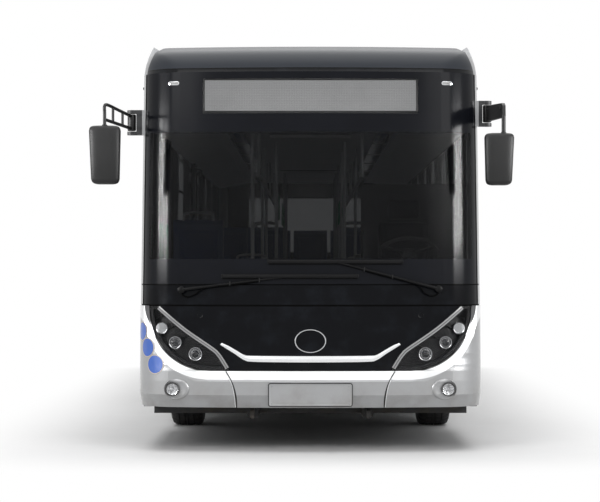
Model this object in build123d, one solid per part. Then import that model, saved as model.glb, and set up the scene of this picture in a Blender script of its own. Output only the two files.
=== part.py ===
from build123d import *
import os
from math import asin, ceil, cos, pi, radians, sin, sqrt

# Two-axle low-floor city bus, 12 m long, left-hand drive, doors on its right side.
# Millimetres. X points to the bus's left side, Y to its rear, Z up from the ground.
# The origin is on the ground, midway between the front and rear ends, on the centre plane.

# Overall body
LENGTH = 12000.0
HALF_LENGTH = LENGTH / 2
HALF_WIDTH = 1275.0
CANTRAIL_HALF_WIDTH = HALF_WIDTH - 15.0
SKIRT_HALF_WIDTH = HALF_WIDTH - 11.0
SKIRT_Z = 300.0
SKIRT_TUCK_Z = 430.0
WAIST_Z = 1080.0
CANTRAIL_Z = 2710.0
ROOF_RAIL_X = HALF_WIDTH - 88.0
ROOF_CROWN_Z = 3012.0
ROOF_RAIL_Z = ROOF_CROWN_Z + 12.0
WALL = 60.0
ROOF_THICKNESS = 55.0
FRONT_Y = -HALF_LENGTH
REAR_Y = HALF_LENGTH
WALL_REAR_Y = REAR_Y - 250.0
GAP = 6.0

# Nose: the plan outline is a shallow front arc, tight corner arcs and straight flanks.
NOSE_RADIUS = 6000.0
CORNER_RADIUS = 350.0
PILLAR_EDGE = 25.0
GLASS_END = asin((CORNER_RADIUS - PILLAR_EDGE) / CORNER_RADIUS)
FLANK = pi / 2
PANEL = 25.0
# Heights of the seams across the front face, and how far each lies behind the foremost point.
BUMPER_Z, BUMPER_SETBACK = 326.0, 60.0
BUMPER_TUCK_Z, BUMPER_TUCK_SETBACK = 420.0, 5.0
BAND_Z, BAND_SETBACK = 520.0, 0.0
FLAP_Z0, FLAP_SETBACK = 594.0, 50.0
FLAP_Z1, FLAP_TOP_SETBACK = 1076.0, 70.0
SCREEN_Z0, SCREEN_SETBACK = 1226.0, 80.0
SCREEN_Z1, SCREEN_TOP_SETBACK = 2800.0, 180.0
# Each row is one level of the roof cap above the windscreen: z, half width, setback, corner radius.
CAP_LEVELS = [(SCREEN_Z1, HALF_WIDTH - 16.0, SCREEN_TOP_SETBACK, CORNER_RADIUS),
              (ROOF_CROWN_Z - 112.0, HALF_WIDTH - 37.0, SCREEN_TOP_SETBACK + 45.0, CORNER_RADIUS - 50.0),
              (ROOF_CROWN_Z - 47.0, HALF_WIDTH - 80.0, SCREEN_TOP_SETBACK + 120.0, CORNER_RADIUS - 130.0),
              (ROOF_CROWN_Z - 4.0, HALF_WIDTH - 155.0, SCREEN_TOP_SETBACK + 250.0, CORNER_RADIUS - 270.0)]
# The corner arcs run out into the flanks here, and the side walls start on the next whole centimetre.
CORNER_CENTRE_X = CAP_LEVELS[0][1] - CORNER_RADIUS
ARC_CENTRES = NOSE_RADIUS - CORNER_RADIUS
NOSE_DEPTH = SCREEN_TOP_SETBACK + NOSE_RADIUS - sqrt(ARC_CENTRES ** 2 - CORNER_CENTRE_X ** 2)
WALL_FRONT_Y = FRONT_Y + 10 * ceil(NOSE_DEPTH / 10)

# Axles and wheels
AXLE_Z = 479.0
FRONT_AXLE_Y = FRONT_Y + 2700.0
REAR_AXLE_Y = REAR_Y - 3400.0
TYRE_RADIUS = 479.0
TYRE_WIDTH = 276.0
RIM_RADIUS = 286.0
RIM_WIDTH = 236.0
FRONT_WHEEL_X = HALF_WIDTH - 225.0
KINGPIN_X = FRONT_WHEEL_X - 90.0
KINGPIN_Z0, KINGPIN_Z1 = AXLE_Z - 79.0, AXLE_Z + 77.0
REAR_OUTER_X = HALF_WIDTH - 190.0
REAR_INNER_X = REAR_OUTER_X - 311.0
ARCH_RADIUS = 555.0

# Floors and steps
FLOOR_Z = 360.0
FLOOR_THICKNESS = 50.0
STEP_Z = 580.0
DECK_Z = 800.0
STEP_Y = REAR_AXLE_Y - 1150.0
DECK_Y = REAR_AXLE_Y - 850.0
CABIN_HALF_WIDTH = HALF_WIDTH - WALL
CEILING_Z = 2480.0

# Windows and doorways
WINDOW_Z0 = 1180.0
WINDOW_Z1 = 2400.0
GLASS = 8.0
DOOR_Z0 = 362.0
DOOR_Z1 = 2380.0
DOORWAY_WIDTH = 1230.0
FRONT_DOOR_Y = WALL_FRONT_Y + 120.0
MIDDLE_DOOR_Y = -520.0
BAY_PITCH = LENGTH / 8
BAY_POST = 100.0
LEFT_BAY_Y = FRONT_Y + 1810.0
RIGHT_BAY_Y = MIDDLE_DOOR_Y + DOORWAY_WIDTH + 150.0
RIGHT_POST_Y = FRONT_AXLE_Y + 980.0
LAST_BAY_Y = REAR_Y - 740.0
# Each row is one window bay of a side: first y, last y.
LEFT_BAYS = [(WALL_FRONT_Y + 210.0, LEFT_BAY_Y - BAY_POST)]
LEFT_BAYS += [(LEFT_BAY_Y + k * BAY_PITCH, LEFT_BAY_Y + (k + 1) * BAY_PITCH - BAY_POST) for k in range(6)]
LEFT_BAYS += [(LEFT_BAY_Y + 6 * BAY_PITCH, REAR_Y - 400.0)]
RIGHT_BAYS = [(FRONT_DOOR_Y + DOORWAY_WIDTH + 120.0, RIGHT_POST_Y - BAY_POST / 2),
              (RIGHT_POST_Y + BAY_POST / 2, MIDDLE_DOOR_Y - 130.0)]
RIGHT_BAYS += [(RIGHT_BAY_Y + k * BAY_PITCH, RIGHT_BAY_Y + (k + 1) * BAY_PITCH - BAY_POST) for k in range(2)]
RIGHT_BAYS += [(RIGHT_BAY_Y + 2 * BAY_PITCH, LAST_BAY_Y - BAY_POST), (LAST_BAY_Y, REAR_Y - 360.0)]

# Headlamp and bumper outlines seen from the front: circles about (x, z).
LAMP_ARC_X, LAMP_ARC_Z, LAMP_ARC_R = HALF_WIDTH - 535.0, FLAP_Z0 + 456.0, 456.0
BAND_ARC_X, BAND_ARC_Z, BAND_ARC_R = HALF_WIDTH - 525.0, FLAP_Z0 + 426.0, 490.0
# The bumper's two seams, which bow outwards as they rise.
SEAM_TOP_X, SEAM_MID_X, SEAM_LOW_X = HALF_WIDTH - 655.0, HALF_WIDTH - 715.0, HALF_WIDTH - 735.0

# Doors: a rotating pillar swings each leaf inwards on two arms, and the leaf turns back twice as far,
# so that its free edge follows the doorway line.
LEAF_THICKNESS = 40.0
LEAF_RECESS = 5.0
LEAF_Z0, LEAF_Z1 = 390.0, DOOR_Z1 - 8.0
PILLAR_RADIUS = 22.0
PILLAR_X = HALF_WIDTH - 101.0
PILLAR_BEHIND_JAMB = 27.0
ARM_LENGTH = 310.0
JAMB_CLEARANCE = 18.0
MEETING_CLEARANCE = 6.0
ARM_Z_LOW, ARM_Z_HIGH = LEAF_Z0 - 24.0, LEAF_Z1 + 6.0
ARM_HEIGHT = 18.0


def block(x0, x1, y0, y1, z0, z1):
    return Pos((x0 + x1) / 2, (y0 + y1) / 2, (z0 + z1) / 2) * Box(abs(x1 - x0), abs(y1 - y0), abs(z1 - z0))


def prism_x(points, x0, x1):
    """A (y, z) outline drawn out from x0 to x1."""
    face = make_face(Polyline(*[(x0, y, z) for y, z in points], close=True))
    return extrude(face, amount=x1 - x0, dir=(1, 0, 0))


def prism_y(points, y0, y1):
    """An (x, z) outline drawn out from y0 to y1."""
    face = make_face(Polyline(*[(x, y0, z) for x, z in points], close=True))
    return extrude(face, amount=y1 - y0, dir=(0, 1, 0))


def rod(start, end, radius):
    """A round bar between two points."""
    a, b = Vector(*start), Vector(*end)
    plane = Plane(origin=a, z_dir=(b - a).normalized())
    return extrude(plane * Circle(radius), amount=(b - a).length)


def bar(start, end, radius):
    """An eight-sided bar between two points."""
    a, b = Vector(*start), Vector(*end)
    plane = Plane(origin=a, z_dir=(b - a).normalized())
    return extrude(plane * RegularPolygon(radius, 8), amount=(b - a).length)


def ring_x(profile, x, y, z):
    """A turned part: (distance along X, radius) outline turned about the X axis through (y, z)."""
    face = make_face(Polyline(*[(x + a, y, z + r) for a, r in profile], close=True))
    return revolve(face, Axis((x, y, z), (1, 0, 0)), 360)


def other_side(shape):
    return mirror(shape, about=Plane.YZ)


def fused(shapes):
    shapes = list(shapes)
    return shapes[0] if len(shapes) == 1 else shapes[0].fuse(*shapes[1:])


def group(shapes):
    """Separate solids kept in one node."""
    return Compound([solid for shape in shapes for solid in shape.solids()])


def wall_x(z):
    """Half width of the body at height z."""
    if z <= SKIRT_TUCK_Z:
        return SKIRT_HALF_WIDTH + (HALF_WIDTH - SKIRT_HALF_WIDTH) * (z - SKIRT_Z) / (SKIRT_TUCK_Z - SKIRT_Z)
    if z <= WAIST_Z:
        return HALF_WIDTH
    lean = (HALF_WIDTH - CANTRAIL_HALF_WIDTH) / (CANTRAIL_Z - WAIST_Z)
    return HALF_WIDTH - lean * (z - WAIST_Z)


def wall_slab(z0, z1, y0, y1, inset, thickness):
    """Part of the left wall's own section, from inset to inset + thickness inside its outer face."""
    levels = [z0] + [z for z in (SKIRT_TUCK_Z, WAIST_Z) if z0 < z < z1] + [z1]
    outer = [(wall_x(z) - inset, z) for z in levels]
    inner = [(wall_x(z) - inset - thickness, z) for z in reversed(levels)]
    return prism_y(outer + inner, y0, y1)


def corner(half_width, setback, radius, nose):
    """Corner arc of the plan outline: its centre and the angle at which it meets the front arc."""
    x = half_width - radius
    y = setback + nose - sqrt((nose - radius) ** 2 - x ** 2)
    return x, y, asin(x / (nose - radius))


def plan_y(x, half_width, setback):
    """Distance of the nose surface behind the front plane at x."""
    cx, cy, start = corner(half_width, setback, CORNER_RADIUS, NOSE_RADIUS)
    if x <= NOSE_RADIUS * sin(start):
        return setback + NOSE_RADIUS - sqrt(NOSE_RADIUS ** 2 - x ** 2)
    return cy - sqrt(max(CORNER_RADIUS ** 2 - (x - cx) ** 2, 0))


def shell_section(z, half_width, setback, thickness, end, radius=CORNER_RADIUS, nose=NOSE_RADIUS,
                  face=FRONT_Y, inward=1):
    """Closed plan outline of a wrapped panel at height z; end is the angle at which the corner arc stops."""
    def outline(inset):
        cx, cy, start = corner(half_width - inset, setback + inset, radius - inset, nose - inset)
        r = radius - inset
        join = (nose - inset) * sin(start), setback + nose - (nose - inset) * cos(start)
        arc = [(cx + r * sin(a), cy - r * cos(a)) for a in ((start + end) / 2, end)]
        return [(0.0, setback + inset), join, *arc]

    def at(point, side):
        return Vector(side * point[0], face + inward * point[1], z)

    out, inn = outline(0.0), outline(thickness)
    return Wire([
        ThreePointArc(at(out[1], -1), at(out[0], 1), at(out[1], 1)),
        ThreePointArc(at(out[1], 1), at(out[2], 1), at(out[3], 1)),
        Line(at(out[3], 1), at(inn[3], 1)),
        ThreePointArc(at(inn[3], 1), at(inn[2], 1), at(inn[1], 1)),
        ThreePointArc(at(inn[1], 1), at(inn[0], 1), at(inn[1], -1)),
        ThreePointArc(at(inn[1], -1), at(inn[2], -1), at(inn[3], -1)),
        Line(at(inn[3], -1), at(out[3], -1)),
        ThreePointArc(at(out[3], -1), at(out[2], -1), at(out[1], -1)),
    ])


def wrapped_panel(levels, thickness, end, **shape):
    """A panel that follows the nose round its corners; levels are (z, half width, setback)."""
    return Solid.make_loft([shell_section(z, w, s, thickness, end, **shape) for z, w, s in levels], ruled=True)


def plan_solid(levels, inset, back_y, face=FRONT_Y, inward=1, nose=NOSE_RADIUS):
    """The full plan outline, closed straight across at back_y; levels are (z, half width, setback, radius)."""
    sections = []
    for z, half_width, setback, radius in levels:
        w, s, r, n = half_width - inset, setback + inset, radius - inset, nose - inset
        cx, cy, start = corner(w, s, r, n)
        join = n * sin(start), s + n - n * cos(start)
        mid_angle = (start + pi / 2) / 2
        mid = cx + r * sin(mid_angle), cy - r * cos(mid_angle)

        def at(x, y):
            return Vector(x, face + inward * y, z)

        back = inward * (back_y - face)
        sections.append(Wire([
            ThreePointArc(at(-join[0], join[1]), at(0, s), at(join[0], join[1])),
            ThreePointArc(at(join[0], join[1]), at(mid[0], mid[1]), at(w, cy)),
            Line(at(w, cy), at(w, back)),
            Line(at(w, back), at(-w, back)),
            Line(at(-w, back), at(-w, cy)),
            ThreePointArc(at(-w, cy), at(-mid[0], mid[1]), at(-join[0], join[1])),
        ]))
    return Solid.make_loft(sections, ruled=True)


# Body shell

def front_pillar():
    """Left front pillar: the corner arc beyond the windscreen's edge and the flank back to the side wall."""
    sections = []
    for z, half_width, setback in [(FLAP_Z1, HALF_WIDTH, FLAP_TOP_SETBACK), (SCREEN_Z0, wall_x(SCREEN_Z0),
                                    SCREEN_SETBACK), (SCREEN_Z1, CAP_LEVELS[0][1], SCREEN_TOP_SETBACK)]:
        cx, cy, _ = corner(half_width, setback, CORNER_RADIUS, NOSE_RADIUS)

        def on(radius, angle):
            return Vector(cx + radius * sin(angle), FRONT_Y + cy - radius * cos(angle), z)

        mid = (GLASS_END + FLANK) / 2
        r, ri = CORNER_RADIUS, CORNER_RADIUS - WALL
        outer_end = Vector(half_width, WALL_FRONT_Y, z)
        inner_end = Vector(half_width - WALL, WALL_FRONT_Y, z)
        sections.append(Wire([
            ThreePointArc(on(r, GLASS_END), on(r, mid), on(r, FLANK)),
            Line(on(r, FLANK), outer_end), Line(outer_end, inner_end), Line(inner_end, on(ri, FLANK)),
            ThreePointArc(on(ri, FLANK), on(ri, mid), on(ri, GLASS_END)),
            Line(on(ri, GLASS_END), on(r, GLASS_END)),
        ]))
    return Solid.make_loft(sections, ruled=True)


BULKHEAD_Y = WALL_FRONT_Y - 50.0
HEADER_Z = 2440.0


def front_frame():
    left = front_pillar()
    inner = wall_x(SCREEN_Z1) - WALL / 2
    bulkhead = block(-inner, inner, BULKHEAD_Y, WALL_FRONT_Y, FLOOR_Z - FLOOR_THICKNESS, SCREEN_Z0)
    header = block(-inner, inner, BULKHEAD_Y, WALL_FRONT_Y, HEADER_Z, SCREEN_Z1)
    return fused([left, other_side(left), bulkhead, header])


def windscreen():
    return wrapped_panel([(SCREEN_Z0, wall_x(SCREEN_Z0), SCREEN_SETBACK),
                          (SCREEN_Z1, CAP_LEVELS[0][1], SCREEN_TOP_SETBACK)], GLASS, GLASS_END)


def front_cap():
    outer = plan_solid(CAP_LEVELS, 0.0, WALL_FRONT_Y)
    hollow = [(z - ROOF_THICKNESS * (z > SCREEN_Z1), w, s, r) for z, w, s, r in CAP_LEVELS]
    return outer - plan_solid(hollow, PANEL, WALL_FRONT_Y + 1.0)


def cowl():
    return wrapped_panel([(FLAP_Z1, HALF_WIDTH, FLAP_TOP_SETBACK),
                          (SCREEN_Z0, wall_x(SCREEN_Z0), SCREEN_SETBACK)], PANEL, GLASS_END)


# Front face below the windscreen

STRIP_TOP_X, STRIP_MID_X, STRIP_LOW_X = HALF_WIDTH - 183.0, HALF_WIDTH - 575.0, HALF_WIDTH - 677.0
STRIP_MID_Z = FLAP_Z0 + 181.0
LAMP_TOP_Z = FLAP_Z1 - GAP
LAMP_CLEARANCE = 8.0


def seam_prism(offset):
    """Everything between the two bumper seams, seen from the front, moved outwards by offset."""
    y = FRONT_Y - 100

    def seam(side):
        return ThreePointArc((side * (SEAM_TOP_X + offset), y, FLAP_Z0),
                             (side * (SEAM_MID_X + offset), y, (FLAP_Z0 + BUMPER_Z) / 2 + 25),
                             (side * (SEAM_LOW_X + offset), y, BUMPER_Z))

    right, left = seam(1), seam(-1)
    wire = Wire([right, Line(right @ 1, left @ 1), left, Line(left @ 0, right @ 0)])
    return extrude(Face(wire), amount=700, dir=(0, 1, 0))


def bumper_centre():
    levels = [(BUMPER_Z, HALF_WIDTH - 10, BUMPER_SETBACK), (BUMPER_TUCK_Z, HALF_WIDTH, BUMPER_TUCK_SETBACK),
              (BAND_Z, HALF_WIDTH, BAND_SETBACK), (FLAP_Z0, HALF_WIDTH, FLAP_SETBACK)]
    return wrapped_panel(levels, PANEL, GLASS_END) & seam_prism(-GAP / 2)


PLATE_HALF_WIDTH, PLATE_Z0, PLATE_Z1, PLATE_THICKNESS = 306.0, 340.0, 508.0, 14.0
PLATE_Y = FRONT_Y - 4.0


def number_plate_panel():
    pad = block(-PLATE_HALF_WIDTH, PLATE_HALF_WIDTH, PLATE_Y, PLATE_Y + 90, PLATE_Z0, PLATE_Z1)
    edges = pad.edges().filter_by(Axis.Y)
    return fillet(edges, 14.0)


def bumper_side():
    """Left bumper corner: the wrapped skin below the headlamp and the blade that rises beside it."""
    y_end = WALL_FRONT_Y
    x0, x1, x2, x3 = SEAM_LOW_X - 40.0, LAMP_ARC_X, LAMP_ARC_X + 110.0, LAMP_ARC_X + 252.0
    lower, blade = [], []
    # Each row is one level: z, half width, setback of the skin, x of its inner edge, setback below the lamp.
    for z, w, s, skin_x, s1 in [(BUMPER_Z, HALF_WIDTH - 10, BUMPER_SETBACK, x2, BUMPER_SETBACK),
                                (BUMPER_TUCK_Z, HALF_WIDTH, BUMPER_TUCK_SETBACK, x2, BUMPER_TUCK_SETBACK),
                                (BAND_Z, HALF_WIDTH, BAND_SETBACK, x2, BAND_SETBACK),
                                (FLAP_Z0, HALF_WIDTH, BAND_SETBACK, x3, FLAP_SETBACK)]:
        cx, cy, start = corner(w, s, CORNER_RADIUS, NOSE_RADIUS)

        def at(x, y):
            return Vector(x, FRONT_Y + y, z)

        def on(r, a):
            return at(cx + r * sin(a), cy - r * cos(a))

        q0 = at(x0, plan_y(x0, w, s1))
        q1, q2 = at(x1, plan_y(x1, w, s1)), at(skin_x, plan_y(skin_x, w, s))
        tangent = on(CORNER_RADIUS, start + 0.18)
        mid = on(CORNER_RADIUS, (start + 0.18 + FLANK) / 2)
        r_in = CORNER_RADIUS - PANEL
        lower.append(Wire([
            Line(q0, q1), Line(q1, q2), Line(q2, tangent),
            ThreePointArc(tangent, mid, on(CORNER_RADIUS, FLANK)),
            Line(on(CORNER_RADIUS, FLANK), at(w, y_end - FRONT_Y)),
            Line(at(w, y_end - FRONT_Y), at(w - PANEL, y_end - FRONT_Y)),
            Line(at(w - PANEL, y_end - FRONT_Y), on(r_in, FLANK)),
            ThreePointArc(on(r_in, FLANK), on(r_in, (start + 0.18 + FLANK) / 2), on(r_in, start + 0.18)),
            Line(on(r_in, start + 0.18), at(x0, plan_y(x0, w, s1) + PANEL)),
            Line(at(x0, plan_y(x0, w, s1) + PANEL), q0),
        ]))
    for z in (*(FLAP_Z0 + rise for rise in (0.0, 11.0, 46.0, 126.0, 246.0, 366.0)), FLAP_Z1 - GAP):
        xa = LAMP_ARC_X + sqrt(LAMP_ARC_R ** 2 - (z - LAMP_ARC_Z) ** 2)
        xb = BAND_ARC_X + sqrt(BAND_ARC_R ** 2 - (z - BAND_ARC_Z) ** 2)
        rise = (z - FLAP_Z0) / (FLAP_Z1 - FLAP_Z0)
        s = BAND_SETBACK + (FLAP_TOP_SETBACK - BAND_SETBACK) * 0.6 * rise
        deep = FLAP_SETBACK + (FLAP_TOP_SETBACK - FLAP_SETBACK) * rise
        cx, cy, start = corner(HALF_WIDTH, s, CORNER_RADIUS, NOSE_RADIUS)
        angle = max(asin((xb - cx) / CORNER_RADIUS), start + 0.01)

        def at(x, y):
            return Vector(x, FRONT_Y + y, z)

        def on(r, a):
            return at(cx + r * sin(a), cy - r * cos(a))

        p1 = at(xa, plan_y(xa, HALF_WIDTH, deep))
        p2 = on(CORNER_RADIUS, angle)
        p7 = at(xa, plan_y(xa, HALF_WIDTH, deep) + PANEL)
        flank = on(CORNER_RADIUS, FLANK)
        blade.append(Wire([
            Line(p1, p2), ThreePointArc(p2, on(CORNER_RADIUS, (angle + FLANK) / 2), flank),
            Line(flank, at(HALF_WIDTH, y_end - FRONT_Y)),
            Line(at(HALF_WIDTH, y_end - FRONT_Y), at(HALF_WIDTH - PANEL, y_end - FRONT_Y)),
            Line(at(HALF_WIDTH - PANEL, y_end - FRONT_Y), at(HALF_WIDTH - PANEL, cy + 20)),
            Line(at(HALF_WIDTH - PANEL, cy + 20), p7), Line(p7, p1),
        ]))
    skin = Solid.make_loft(lower, ruled=True) - seam_prism(GAP / 2)
    return fused([skin, Solid.make_loft(blade, ruled=True)])


def lamp_prism(inset):
    """Headlamp outline seen from the front, drawn out along Y, on the +X side."""
    y = FRONT_Y - 100
    r = LAMP_ARC_R - LAMP_CLEARANCE - inset
    low = Vector(LAMP_ARC_X, y, LAMP_ARC_Z - r)
    top = LAMP_TOP_Z - inset
    high = Vector(LAMP_ARC_X + sqrt(r ** 2 - (top - LAMP_ARC_Z) ** 2), y, top)
    mid = Vector(LAMP_ARC_X + r * sin(radians(45)), y, LAMP_ARC_Z - r * cos(radians(45)))
    inner = [Vector(STRIP_TOP_X + GAP + inset, y, top), Vector(STRIP_MID_X + GAP + inset * 1.4, y, STRIP_MID_Z),
             Vector(STRIP_LOW_X + GAP + inset * 2, y, LAMP_ARC_Z - r)]
    wire = Wire([ThreePointArc(low, mid, high), Line(high, inner[0]), Line(inner[0], inner[1]),
                 Line(inner[1], inner[2]), Line(inner[2], low)])
    return extrude(Face(wire), amount=700, dir=(0, 1, 0))


def lower_face(depth0, depth1):
    """The face between bumper and cowl, from depth0 to depth1 behind its skin."""
    levels = [(FLAP_Z0, HALF_WIDTH - depth0, FLAP_SETBACK + depth0),
              (FLAP_Z1, HALF_WIDTH - depth0, FLAP_TOP_SETBACK + depth0)]
    return wrapped_panel(levels, depth1 - depth0, FLANK - 0.05, radius=CORNER_RADIUS - depth0,
                         nose=NOSE_RADIUS - depth0)


LENS = 6.0
LAMP_DEPTH = 110.0
# Each row is one round lamp of the left headlamp: x, z, radius.
LAMP_ROUNDS = [(HALF_WIDTH - 177.0, FLAP_Z0 + 311.0, 42.0), (HALF_WIDTH - 279.0, FLAP_Z0 + 206.0, 46.0),
               (HALF_WIDTH - 429.0, FLAP_Z0 + 122.0, 50.0)]


def headlamp_lens():
    return lower_face(0.0, LENS) & lamp_prism(0.0)


def headlamp_housing():
    """Shallow open box behind the lens with three round lamps on its floor."""
    body = lower_face(LENS + 1.5, LAMP_DEPTH) & lamp_prism(0.0)
    body = body - (lower_face(0.0, 60.0) & lamp_prism(22.0))
    rounds = []
    for x, z, radius in LAMP_ROUNDS:
        back = FRONT_Y + plan_y(x, HALF_WIDTH, FLAP_SETBACK) + 85
        rounds.append(rod((x, back - 42, z), (x, back, z), radius))
    return fused([body, *rounds])


def flap_prism():
    y = FRONT_Y - 100
    half = [(STRIP_TOP_X - GAP / 2, FLAP_Z1 - GAP), (STRIP_MID_X - GAP / 2, STRIP_MID_Z),
            (STRIP_LOW_X - GAP / 2, FLAP_Z0 + GAP)]
    points = half + [(-x, z) for x, z in reversed(half)]
    return prism_y(points, y, y + 700)


def front_flap():
    return lower_face(0.0, PANEL) & flap_prism()


FOG_X, FOG_Z, FOG_R = HALF_WIDTH - 263.0, BUMPER_TUCK_Z + 41.0, 52.0


def fog_lamp():
    y = FRONT_Y + plan_y(FOG_X, HALF_WIDTH, BAND_SETBACK)
    bowl = [(0.0, FOG_R), (70.0, FOG_R), (70.0, 0.0), (22.0, 0.0), (10.0, FOG_R - 14), (0.0, FOG_R - 10)]
    face = make_face(Polyline(*[(FOG_X + r, y - 16 + a, FOG_Z) for a, r in bowl], close=True))
    return revolve(face, Axis((FOG_X, y, FOG_Z), (0, 1, 0)), 360)


def fog_hole():
    y = FRONT_Y + plan_y(FOG_X, HALF_WIDTH, BAND_SETBACK)
    return rod((FOG_X, y - 150, FOG_Z), (FOG_X, y + 250, FOG_Z), FOG_R)


DISPLAY_HALF_WIDTH, DISPLAY_Z0, DISPLAY_Z1 = 802.0, 2479.0, 2729.0


def destination_display():
    y = BULKHEAD_Y - 60
    return block(-DISPLAY_HALF_WIDTH, DISPLAY_HALF_WIDTH, y, BULKHEAD_Y, DISPLAY_Z0, DISPLAY_Z1)


# Side walls, roof and rear

def arch_cut(y):
    disc = rod((0, y, AXLE_Z), (HALF_WIDTH + 50, y, AXLE_Z), ARCH_RADIUS)
    legs = block(0, HALF_WIDTH + 50, y - ARCH_RADIUS, y + ARCH_RADIUS, SKIRT_Z - 10, AXLE_Z)
    return [disc, legs]


def opening(y0, y1, z0, z1):
    return block(HALF_WIDTH - 2 * WALL, HALF_WIDTH + 50, y0, y1, z0, z1)


def side_wall(bays, doorways):
    """One side wall on the +X side."""
    wall = wall_slab(SKIRT_Z, CANTRAIL_Z, WALL_FRONT_Y, WALL_REAR_Y, 0.0, WALL)
    cuts = arch_cut(FRONT_AXLE_Y) + arch_cut(REAR_AXLE_Y)
    cuts += [opening(y0, y1, WINDOW_Z0, WINDOW_Z1) for y0, y1 in bays]
    cuts += [opening(y, y + DOORWAY_WIDTH, DOOR_Z0, DOOR_Z1) for y in doorways]
    return wall.cut(*cuts)


def side_glass(bays):
    return group([wall_slab(WINDOW_Z0, WINDOW_Z1, y0, y1, 0.0, GLASS) for y0, y1 in bays])


HATCH_HALF = 350.0
# Each row is one roof hatch: its middle y.
ROOF_HATCHES = [FRONT_Y + 2400.0, REAR_Y - 3300.0]
AIRCON_Y0, AIRCON_Y1, AIRCON_HALF_WIDTH, AIRCON_RISE = -1900.0, 900.0, HALF_WIDTH - 345.0, 218.0
AIRCON_TOP_Z = ROOF_CROWN_Z + AIRCON_RISE
# Heights above and below every part of the roof.
ABOVE_ROOF_Z, BELOW_ROOF_Z = ROOF_CROWN_Z + 88.0, ROOF_CROWN_Z - 112.0


def roof():
    """Roof section: cantrail coving, proud side rails and a shallow crown, open underneath."""
    y = WALL_FRONT_Y
    valley_x, valley_z = ROOF_RAIL_X - 47.0, ROOF_CROWN_Z - 18.0
    foot = wall_x(CANTRAIL_Z)

    def at(x, z):
        return Vector(x, y, z)

    def coving(side):
        return ThreePointArc(at(side * foot, CANTRAIL_Z), at(side * (foot - 17.0), ROOF_CROWN_Z - 122.0),
                             at(side * ROOF_RAIL_X, ROOF_RAIL_Z))

    t = ROOF_THICKNESS
    outer_r, outer_l = coving(1), coving(-1)
    crown = ThreePointArc(at(valley_x, valley_z), at(0, ROOF_CROWN_Z), at(-valley_x, valley_z))
    inner_crown = ThreePointArc(at(-valley_x, valley_z - t), at(0, ROOF_CROWN_Z - t),
                                at(valley_x, valley_z - t))
    wire = Wire([
        outer_r, Line(outer_r @ 1, crown @ 0), crown, Line(crown @ 1, outer_l @ 1), outer_l,
        Line(outer_l @ 0, at(-foot + WALL, CANTRAIL_Z)), Line(at(-foot + WALL, CANTRAIL_Z), inner_crown @ 0),
        inner_crown, Line(inner_crown @ 1, at(foot - WALL, CANTRAIL_Z)),
        Line(at(foot - WALL, CANTRAIL_Z), outer_r @ 0),
    ])
    shell = extrude(Face(wire), amount=WALL_REAR_Y - WALL_FRONT_Y, dir=(0, 1, 0))
    holes = [block(-HATCH_HALF, HATCH_HALF, y0 - HATCH_HALF, y0 + HATCH_HALF, BELOW_ROOF_Z, ABOVE_ROOF_Z)
             for y0 in ROOF_HATCHES]
    return shell.cut(*holes)


def roof_hatch(y0):
    lid = HATCH_HALF + 30
    cover = block(-lid, lid, y0 - lid, y0 + lid, ROOF_CROWN_Z + GAP, ROOF_CROWN_Z + GAP + 45)
    cover = fillet(cover.edges().group_by(Axis.Z)[-1], 18.0)
    plug = block(-HATCH_HALF + 12, HATCH_HALF - 12, y0 - HATCH_HALF + 12, y0 + HATCH_HALF - 12,
                 ROOF_CROWN_Z - ROOF_THICKNESS, ROOF_CROWN_Z + GAP + 5)
    return cover + plug


def aircon():
    z0 = ROOF_CROWN_Z - 25
    unit = prism_x([(AIRCON_Y0, z0), (AIRCON_Y0 + 380, AIRCON_TOP_Z), (AIRCON_Y1 - 120, AIRCON_TOP_Z),
                    (AIRCON_Y1, z0)], -AIRCON_HALF_WIDTH, AIRCON_HALF_WIDTH)
    unit = chamfer(unit.edges().filter_by(Axis.Y).group_by(Axis.Z)[-1], 60.0)
    roof_top = block(-HALF_WIDTH, HALF_WIDTH, AIRCON_Y0 - 10, AIRCON_Y1 + 10, BELOW_ROOF_Z, ROOF_CROWN_Z - 8)
    z1 = AIRCON_TOP_Z
    fans = [rod((x, AIRCON_Y0 + y, z1 - 30), (x, AIRCON_Y0 + y, z1 + 30), 190.0)
            for x in (-420, 420) for y in (1000, 1600, 2200)]
    return (unit - roof_top).cut(*fans)


DUCT_X = HALF_WIDTH - 475.0


def ceiling():
    """Flat ceiling with an air duct along each side, open at the roof hatches."""
    edge, duct = CABIN_HALF_WIDTH, DUCT_X
    upper = [(edge, WINDOW_Z1 + 10), (edge, WINDOW_Z1 + 35), (duct + 20, CEILING_Z + 25)]
    lower = [(duct, CEILING_Z), (edge - 45, WINDOW_Z1 + 10)]
    points = upper + [(-x, z) for x, z in reversed(upper)] + [(-x, z) for x, z in reversed(lower)] + lower
    panel = prism_y(points, WALL_FRONT_Y, WALL_REAR_Y)
    wall = wall_slab(WAIST_Z, CANTRAIL_Z, WALL_FRONT_Y - 1, WALL_REAR_Y + 1, 0.0, WALL)
    shafts = [block(-HATCH_HALF, HATCH_HALF, y0 - HATCH_HALF, y0 + HATCH_HALF, CEILING_Z - 80, CEILING_Z + 120)
              for y0 in ROOF_HATCHES]
    return panel.cut(wall, other_side(wall), *shafts)


REAR_CORNER = 200.0
REAR_SLOPE, REAR_SLOPE_Z = 0.03, 1200.0
HATCH_Z0, HATCH_Z1, HATCH_X = 420.0, 1180.0, HALF_WIDTH - 375.0
# First x, last x, first z and last z of the rear window.
REAR_WINDOW = (-HALF_WIDTH + 445.0, HALF_WIDTH - 445.0, 1560.0, 2300.0)
REAR_LAMP_X0, REAR_LAMP_X1 = HALF_WIDTH - 315.0, HALF_WIDTH - 155.0
REAR_LAMP_Z0, REAR_LAMP_PITCH, REAR_LAMP_HEIGHT = 700.0, 240.0, 220.0


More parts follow.
